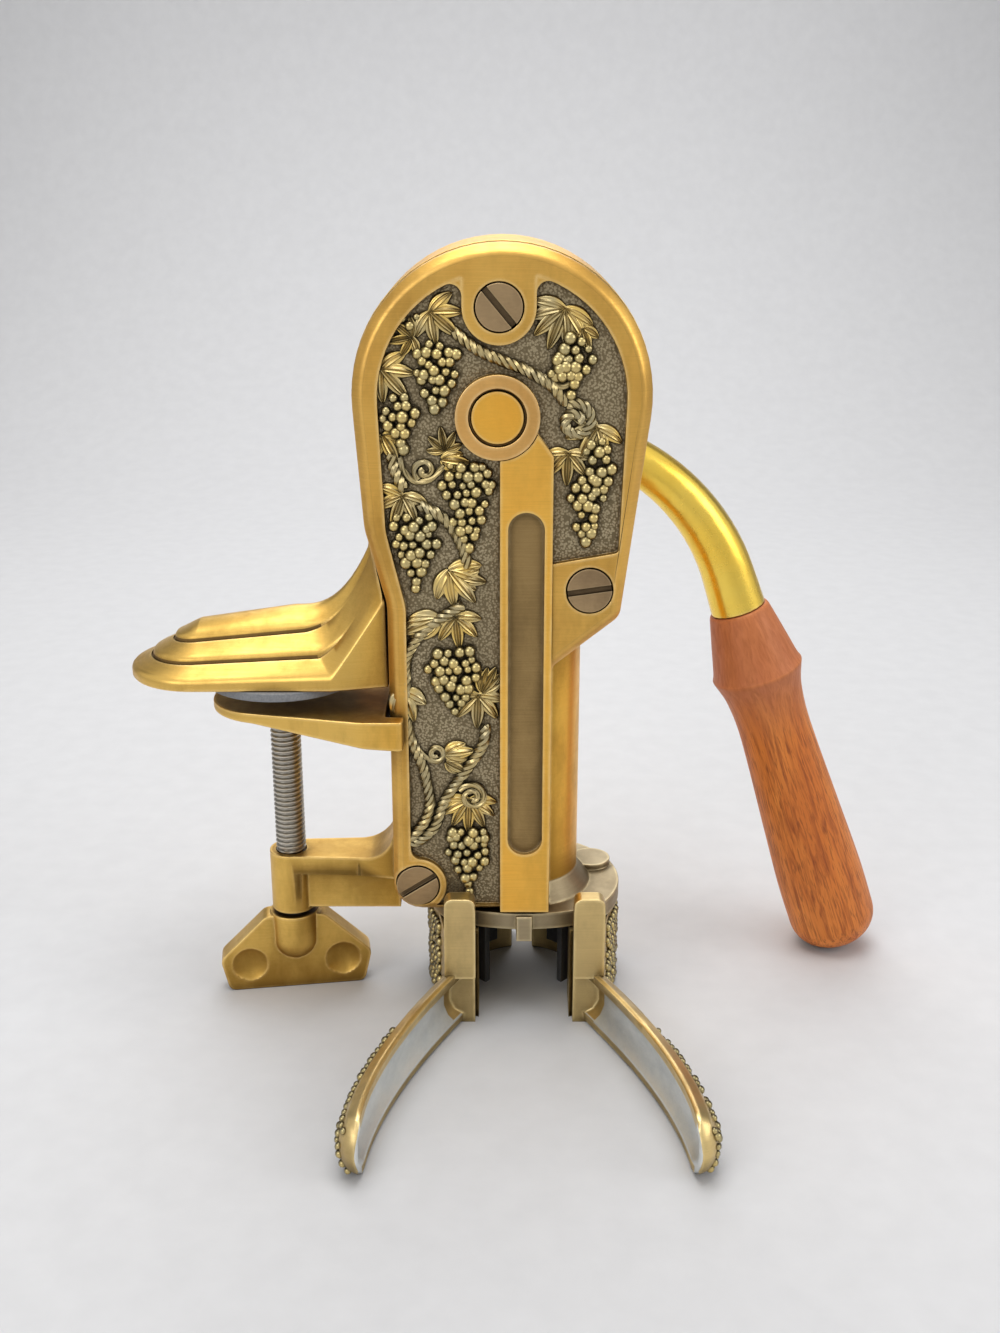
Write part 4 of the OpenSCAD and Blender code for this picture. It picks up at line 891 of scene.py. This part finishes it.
def grown(name, mesh, tree, body, inputs):
    """A piece that a Geometry Nodes tree makes from a mesh, settled to a plain mesh of its own."""
    obj = new_object(name, mesh)
    modifier = obj.modifiers.new(tree.name, "NODES")
    modifier.node_group = tree
    sockets = {s.name: s.identifier for s in tree.interface.items_tree if s.in_out == "INPUT"}
    for key, value in inputs.items():
        modifier[sockets[key]] = value
    graph = bpy.context.evaluated_depsgraph_get()
    settled = bpy.data.meshes.new_from_object(obj.evaluated_get(graph))
    obj.modifiers.clear()
    obj.data = settled
    smooth(settled, 50)
    return place(obj, body, "antique_brass")


def on_panel(a, b, rise=0.5):
    """A place on the cover's panel: x, z and a rise above its floor."""
    return (a, PANEL_Y - rise, b)


def vine(name, paths, strand, lay, turns):
    """Ropes along paths on the panel, each point x, z and perhaps a rise from the panel's floor."""
    verts, edges = [], []
    for path in paths:
        first = len(verts)
        verts += [p * MM for p in smooth_path([Vector(on_panel(*p)) for p in path])]
        edges += [(k, k + 1) for k in range(first, len(verts) - 1)]
    mesh = bpy.data.meshes.new(name)
    mesh.from_pydata(verts, edges, [])
    return grown(name, mesh, ROPE, "frame", {
        "Strand Radius": strand * MM, "Lay Radius": lay * MM, "Turns per Metre": turns,
        "Material": VINE_METAL})


def beads(name, points, body):
    """Grapes at points of x, y, z and a radius."""
    mesh = bpy.data.meshes.new(name)
    mesh.from_pydata([tuple(c * MM for c in p[:3]) for p in points], [], [])
    radius = mesh.attributes.new("bead_radius", "FLOAT", "POINT")
    radius.data.foreach_set("value", [p[3] * MM for p in points])
    return grown(name, mesh, BEADS, body, {"Material": GRAPE_METAL})


def bunch(top, foot, width, spacing=3.3):
    """Grapes of one bunch: closely set rows inside a drop, full at the shoulder and thin at the foot."""
    top, foot = Vector(top), Vector(foot)
    axis = (foot - top).normalized()
    across = Vector((-axis[1], axis[0]))
    length = (foot - top).length
    rows = max(3, round(length / (0.87 * spacing)))
    spots = []
    for row in range(rows + 1):
        s = row / rows
        half = width / 2 * min(1.0, 0.62 + 1.9 * s) * min(1.0, 0.10 + 1.35 * (1.0 - s) ** 0.9)
        count = max(1, 2 * round(half / spacing - 0.5 * (row % 2)) + row % 2)
        for k in range(count):
            shake = rng.uniform(-0.75, 0.75, 3)
            off = (k - (count - 1) / 2) * spacing + shake[0]
            spot = top + axis * (length * s + shake[1]) + across * off
            swell = max(0.0, 1.0 - (off / (width / 2 + 1.5)) ** 2)
            rise = 0.1 + 1.5 * swell * sin(pi * (0.22 + 0.66 * s)) + 0.5 * shake[2]
            spots.append((spot[0], spot[1], rise, rng.uniform(1.5, 2.35)))
    return spots


def blade(root, length, width, heading, lift, curl):
    """One pointed blade of a leaf: a pillow with grooves along it, closed underneath."""
    along, over = 10, 16
    tip_rise, under = 0.3, -0.3
    verts = []
    for level in (0, 1):
        for i in range(along + 1):
            u = i / along
            half = width / 2 * sin(pi * min(1.0, 0.10 + 0.90 * u)) ** 0.75 if i < along else 0.0
            turn = radians(heading + curl * u)
            for j in range(over + 1):
                v = 2 * j / over - 1
                a = root[0] + length * u * cos(turn) - half * v * sin(turn)
                b = root[1] + length * u * sin(turn) + half * v * cos(turn)
                groove = 0.27 * (0.5 + 0.5 * cos(2 * pi * 2 * v)) if abs(v) < 0.9 else 0.0
                dome = max(0.0, 1.0 - v * v) ** 0.55
                swell = 0.55 + 0.65 * sin(pi * (0.12 + 0.80 * u))
                rise = lift * dome * (1.0 - groove) * swell if i < along else tip_rise
                verts.append(on_panel(a, b, under if level else rise))
    n = over + 1
    back = (along + 1) * n
    faces = []
    for i in range(along):
        for j in range(over):
            top = (i * n + j, (i + 1) * n + j, (i + 1) * n + j + 1, i * n + j + 1)
            faces.append(top)
            faces.append(tuple(back + k for k in reversed(top)))
        for j in (0, over):
            side = (i * n + j, back + i * n + j, back + (i + 1) * n + j, (i + 1) * n + j)
            faces.append(side if j == 0 else tuple(reversed(side)))
    for i in (0, along):
        for j in range(over):
            end = (i * n + j, i * n + j + 1, back + i * n + j + 1, back + i * n + j)
            faces.append(end if i == 0 else tuple(reversed(end)))
    return verts, faces


def leaves(name, plan):
    """Leaves of three to seven blades that fan out from a stalk."""
    verts, faces = [], []
    for root, size, heading, blades, spread in plan:
        width = size * (0.30 + 0.9 / blades ** 1.2)
        for k in sorted(range(blades), key=lambda k: -abs(2 * k - blades + 1)):
            side = 2 * k / (blades - 1) - 1
            length = size * (1.0 - 0.22 * abs(side))
            part, skin = blade(root, length, width, heading + side * spread / 2, 2.0 - 0.55 * abs(side),
                               -14 * side)
            faces += [tuple(i + len(verts) for i in f) for f in skin]
            verts += part
    obj = mesh_object(name, verts, faces, LEAF_METAL)
    tidy_mesh(obj, 60)
    return place(obj, "frame", "antique_brass")


# Bunches: top, foot, width
BUNCHES = [
    ((-28.9, 207.5), (-29.2, 187.0), 15.0), ((-41.6, 190.0), (-40.2, 174.0), 12.5),
    ((-19.2, 168.6), (-19.0, 141.8), 17.5), ((-37.0, 151.0), (-36.6, 127.6), 16.5),
    ((-24.6, 104.6), (-23.6, 83.4), 18.5), ((-20.2, 38.6), (-19.4, 15.0), 16.0),
    ((15.6, 209.0), (14.4, 191.6), 12.5), ((22.8, 176.5), (25.0, 161.0), 10.0),
    ((20.0, 164.0), (19.6, 143.0), 12.5), ((10.6, 202.6), (9.4, 196.6), 6.5),
]
grapes = [g for top, foot, width in BUNCHES for g in bunch(top, foot, width)]
grapes += [(-37.2, 213.2, 0.7, 1.7), (-35.0, 216.0, 0.5, 1.2), (-39.4, 215.2, 0.4, 1.2)]
beads("panel_grapes", [on_panel(*g[:3]) + g[3:] for g in grapes], "frame")

# Leaves: stalk, size, heading in degrees, blades, spread
LEAVES = [
    ((-30.6, 217.4), 12.0, -40, 5, 190), ((-36.6, 209.6), 8.5, 190, 5, 220),
    ((-46.4, 199.6), 12.5, -48, 5, 190), ((-46.6, 178.4), 10.0, -62, 3, 120),
    ((-26.6, 173.8), 8.0, 100, 5, 190), ((-27.6, 170.6), 9.5, -6, 3, 70),
    ((-40.6, 158.6), 11.5, -110, 5, 210), ((-25.6, 133.4), 14.5, -52, 5, 150),
    ((-21.8, 131.0), 9.0, -10, 3, 90), ((-29.0, 116.6), 14.0, -158, 5, 70),
    ((-23.6, 117.0), 11.5, -84, 5, 190), ((-41.8, 90.6), 12.0, -72, 3, 110),
    ((-14.8, 90.4), 10.5, 62, 5, 90), ((-16.2, 89.2), 12.5, -92, 5, 190),
    ((-27.6, 67.6), 10.5, 8, 3, 70), ((-27.4, 64.6), 8.0, -28, 3, 60),
    ((-19.6, 50.2), 13.0, -92, 7, 200), ((11.6, 218.4), 14.0, -112, 7, 190),
    ((22.6, 181.0), 12.5, -118, 5, 200), ((13.4, 172.6), 11.0, -92, 5, 190),
    ((17.2, 212.4), 8.0, -70, 3, 110),
]
leaves("panel_leaves", LEAVES)

# Canes and tendrils: points of x, z and perhaps a rise
CANES = [
    [(-23.4, 211.6), (-15.7, 205.8), (-7.4, 202.1), (-0.4, 199.3), (7.6, 194.5), (12.6, 188.6)],
    spiral((15.6, 183.0), 6.0, 1.6, 1.35, 118, -1),
    [(-44.0, 172.8), (-43.0, 167.1), (-40.0, 161.0)],
    [(-35.2, 155.9), (-26.8, 150.8), (-21.9, 143.1), (-19.3, 134.9)],
    [(-21.4, 121.4), (-29.2, 116.4), (-36.0, 110.5), (-40.2, 103.0), (-40.8, 96.5), (-41.2, 90.0),
     (-41.2, 82.7), (-39.6, 73.1), (-36.1, 64.5), (-34.5, 57.7), (-33.3, 48.9), (-35.2, 42.0),
     (-41.2, 33.8)],
    [(-42.8, 33.3), (-37.0, 34.6), (-31.6, 40.1), (-28.6, 48.9), (-24.4, 55.8), (-19.1, 63.4),
     (-14.6, 71.2), (-13.6, 78.1)],
]
vine("panel_vine", CANES, 1.10, 0.95, 125)
TENDRILS = [
    [(-41.4, 171.4), (-39.6, 166.1), (-35.7, 163.2), (-30.8, 164.5), (-26.9, 168.8)],
    spiral((-33.2, 167.0), 3.7, 0.9, 1.3, 235, -1),
    [(-40.2, 73.4), (-36.1, 67.8), (-33.8, 66.0)],
    spiral((-31.0, 67.8), 3.2, 1.0, 1.3, 205),
    spiral((-18.4, 51.6), 5.0, 1.2, 1.7, 150, -1, 1.3),
    spiral((10.4, 197.4), 4.2, 1.2, 1.2, 60, -1, 0.9),
]
vine("panel_tendrils", TENDRILS, 0.70, 0.42, 60)


def grip_relief(name, side, body):
    """Grapes on the outside of a grip: round its jaw and along its handle to the tip."""
    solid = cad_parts[name].data
    skin = BVHTree.FromPolygons([v.co / MM for v in solid.vertices],
                                [p.vertices[:] for p in solid.polygons])
    jaw_start_r, handle_start_x = 60, 90

    def on_skin(start, aim, rise):
        hit, normal, _, _ = skin.ray_cast(start, aim)
        return tuple(hit + normal * rise) if hit else None

    spots = []
    for row, b in enumerate(np.arange(-32.6, -5.0, 2.75)):
        for a in np.arange(-19.0, 16.0, 3.0):
            shake = rng.uniform(-0.5, 0.5, 3)
            angle = (a + 1.5 * (row % 2) + shake[0]) / JAW_OUTER_R
            out = jaw_start_r * cos(angle)
            start = Vector((side * out, jaw_start_r * sin(angle), b + shake[1]))
            where = on_skin(start, Vector((-start.x, -start.y, 0)).normalized(), 0.1)
            if where and rng.random() < 0.9:
                spots.append(where + (rng.uniform(1.3, 1.9),))
    for a in np.arange(-122.0, -66.0, 3.0):
        for b in np.arange(-32.5, -16.0, 2.9):
            shake = rng.uniform(-0.5, 0.5, 2)
            start = Vector((side * handle_start_x, a + shake[0], b + shake[1]))
            where = on_skin(start, Vector((-side, 0, 0)), 0.0)
            if where and rng.random() < 0.85:
                spots.append(where + (rng.uniform(1.1, 1.6),))
    beads(name + "_grapes", spots, body)


grip_relief("left_grip", -1, "left_grip_body")
grip_relief("right_grip", 1, "right_grip_body")


# Floor, light and camera

def sweep():
    """A pale floor that curves up behind the tool."""
    floor_z = cad_box[0][2]
    half_width, front, bend_y, bend_r, top = 2.6, -1.6, 0.75, 0.5, 2.4
    profile = [(front, 0.0), (bend_y, 0.0)]
    profile += [(bend_y + bend_r * sin(a), bend_r - bend_r * cos(a))
                for a in np.linspace(0.1, pi / 2, 14)]
    profile.append((bend_y + bend_r, top))
    verts = [(x, y, floor_z + z) for y, z in profile for x in (-half_width, half_width)]
    mesh = bpy.data.meshes.new("studio_sweep")
    mesh.from_pydata(verts, [], [(2 * k, 2 * k + 1, 2 * k + 3, 2 * k + 2) for k in range(len(profile) - 1)])
    mesh.shade_smooth()
    material, tree = new_material("studio_sweep")
    shader = tree.nodes["Principled BSDF"]
    fine = group_outputs(tree, MOTTLE, Scale=6.0)["Fine"]
    tone = mix_colour(tree, fine, (0.64, 0.64, 0.65), (0.67, 0.67, 0.68))
    tree.links.new(tone, shader.inputs["Base Color"])
    shader.inputs["Roughness"].default_value = 0.75
    new_object("studio_sweep", mesh, material)


def studio_world():
    """A dim sky that lights the tool, and a paler backdrop for what is seen or mirrored."""
    world = bpy.data.worlds.new("studio")
    world.use_nodes = True
    tree = world.node_tree
    tree.nodes.clear()
    coords = add(tree, "ShaderNodeTexCoord")
    up = add(tree, "ShaderNodeSeparateXYZ", {0: coords.outputs["Generated"]}).outputs["Z"]

    def grey(top, dim, bright, strength):
        level = ramp(tree, up, -0.1, top, dim, bright)
        shade = add(tree, "ShaderNodeCombineColor", {0: level, 1: level, 2: level})
        light = add(tree, "ShaderNodeBackground", {"Color": shade.outputs[0], "Strength": strength})
        return light.outputs[0]

    ray = add(tree, "ShaderNodeLightPath").outputs
    mirrored = math_node(tree, "MAXIMUM", ray["Is Glossy Ray"], ray["Is Transmission Ray"])
    seen = math_node(tree, "MAXIMUM", ray["Is Camera Ray"], mirrored)
    sky = grey(0.9, 0.30, 0.95, 0.5)
    backdrop = grey(0.6, 0.62, 0.78, 1.0)
    mixed = add(tree, "ShaderNodeMixShader", {0: seen, 1: sky, 2: backdrop})
    add(tree, "ShaderNodeOutputWorld", {"Surface": mixed.outputs[0]})
    scene.world = world


def lamps():
    """Soft overhead light and weaker fills, all turned to the tool's middle."""
    middle = Vector((0.0, 0.0, 0.09))
    for name, where, size, power in (
            ("overhead_softbox", (-0.05, -0.05, 1.15), 0.8, 7.0),
            ("back_softbox", (-0.05, 0.85, 0.95), 1.0, 6.5),
            ("front_left_fill", (-0.75, -0.95, 0.65), 0.7, 3.5),
            ("right_fill", (0.95, -0.35, 0.55), 0.6, 2.5)):
        lamp = bpy.data.lights.new(name, "AREA")
        lamp.energy = power
        lamp.size = size
        obj = new_object(name, lamp)
        obj.location = where
        obj.rotation_euler = (middle - Vector(where)).to_track_quat("-Z", "Y").to_euler()


def photo_camera():
    """The photo's view: its focal length and height are given in the photo's pixels."""
    focal_px, height_px = 1487.0, 1333.0
    data = bpy.data.cameras.new("camera")
    data.sensor_width = 36.0
    data.lens = data.sensor_width * focal_px / height_px
    camera = new_object("camera", data)
    camera.location = (-0.0087, -0.506, 0.2642)
    camera.rotation_euler = (radians(71.0), 0.0, 0.0)
    scene.camera = camera


sweep()
studio_world()
lamps()
photo_camera()
scene.view_settings.view_transform = "Standard"
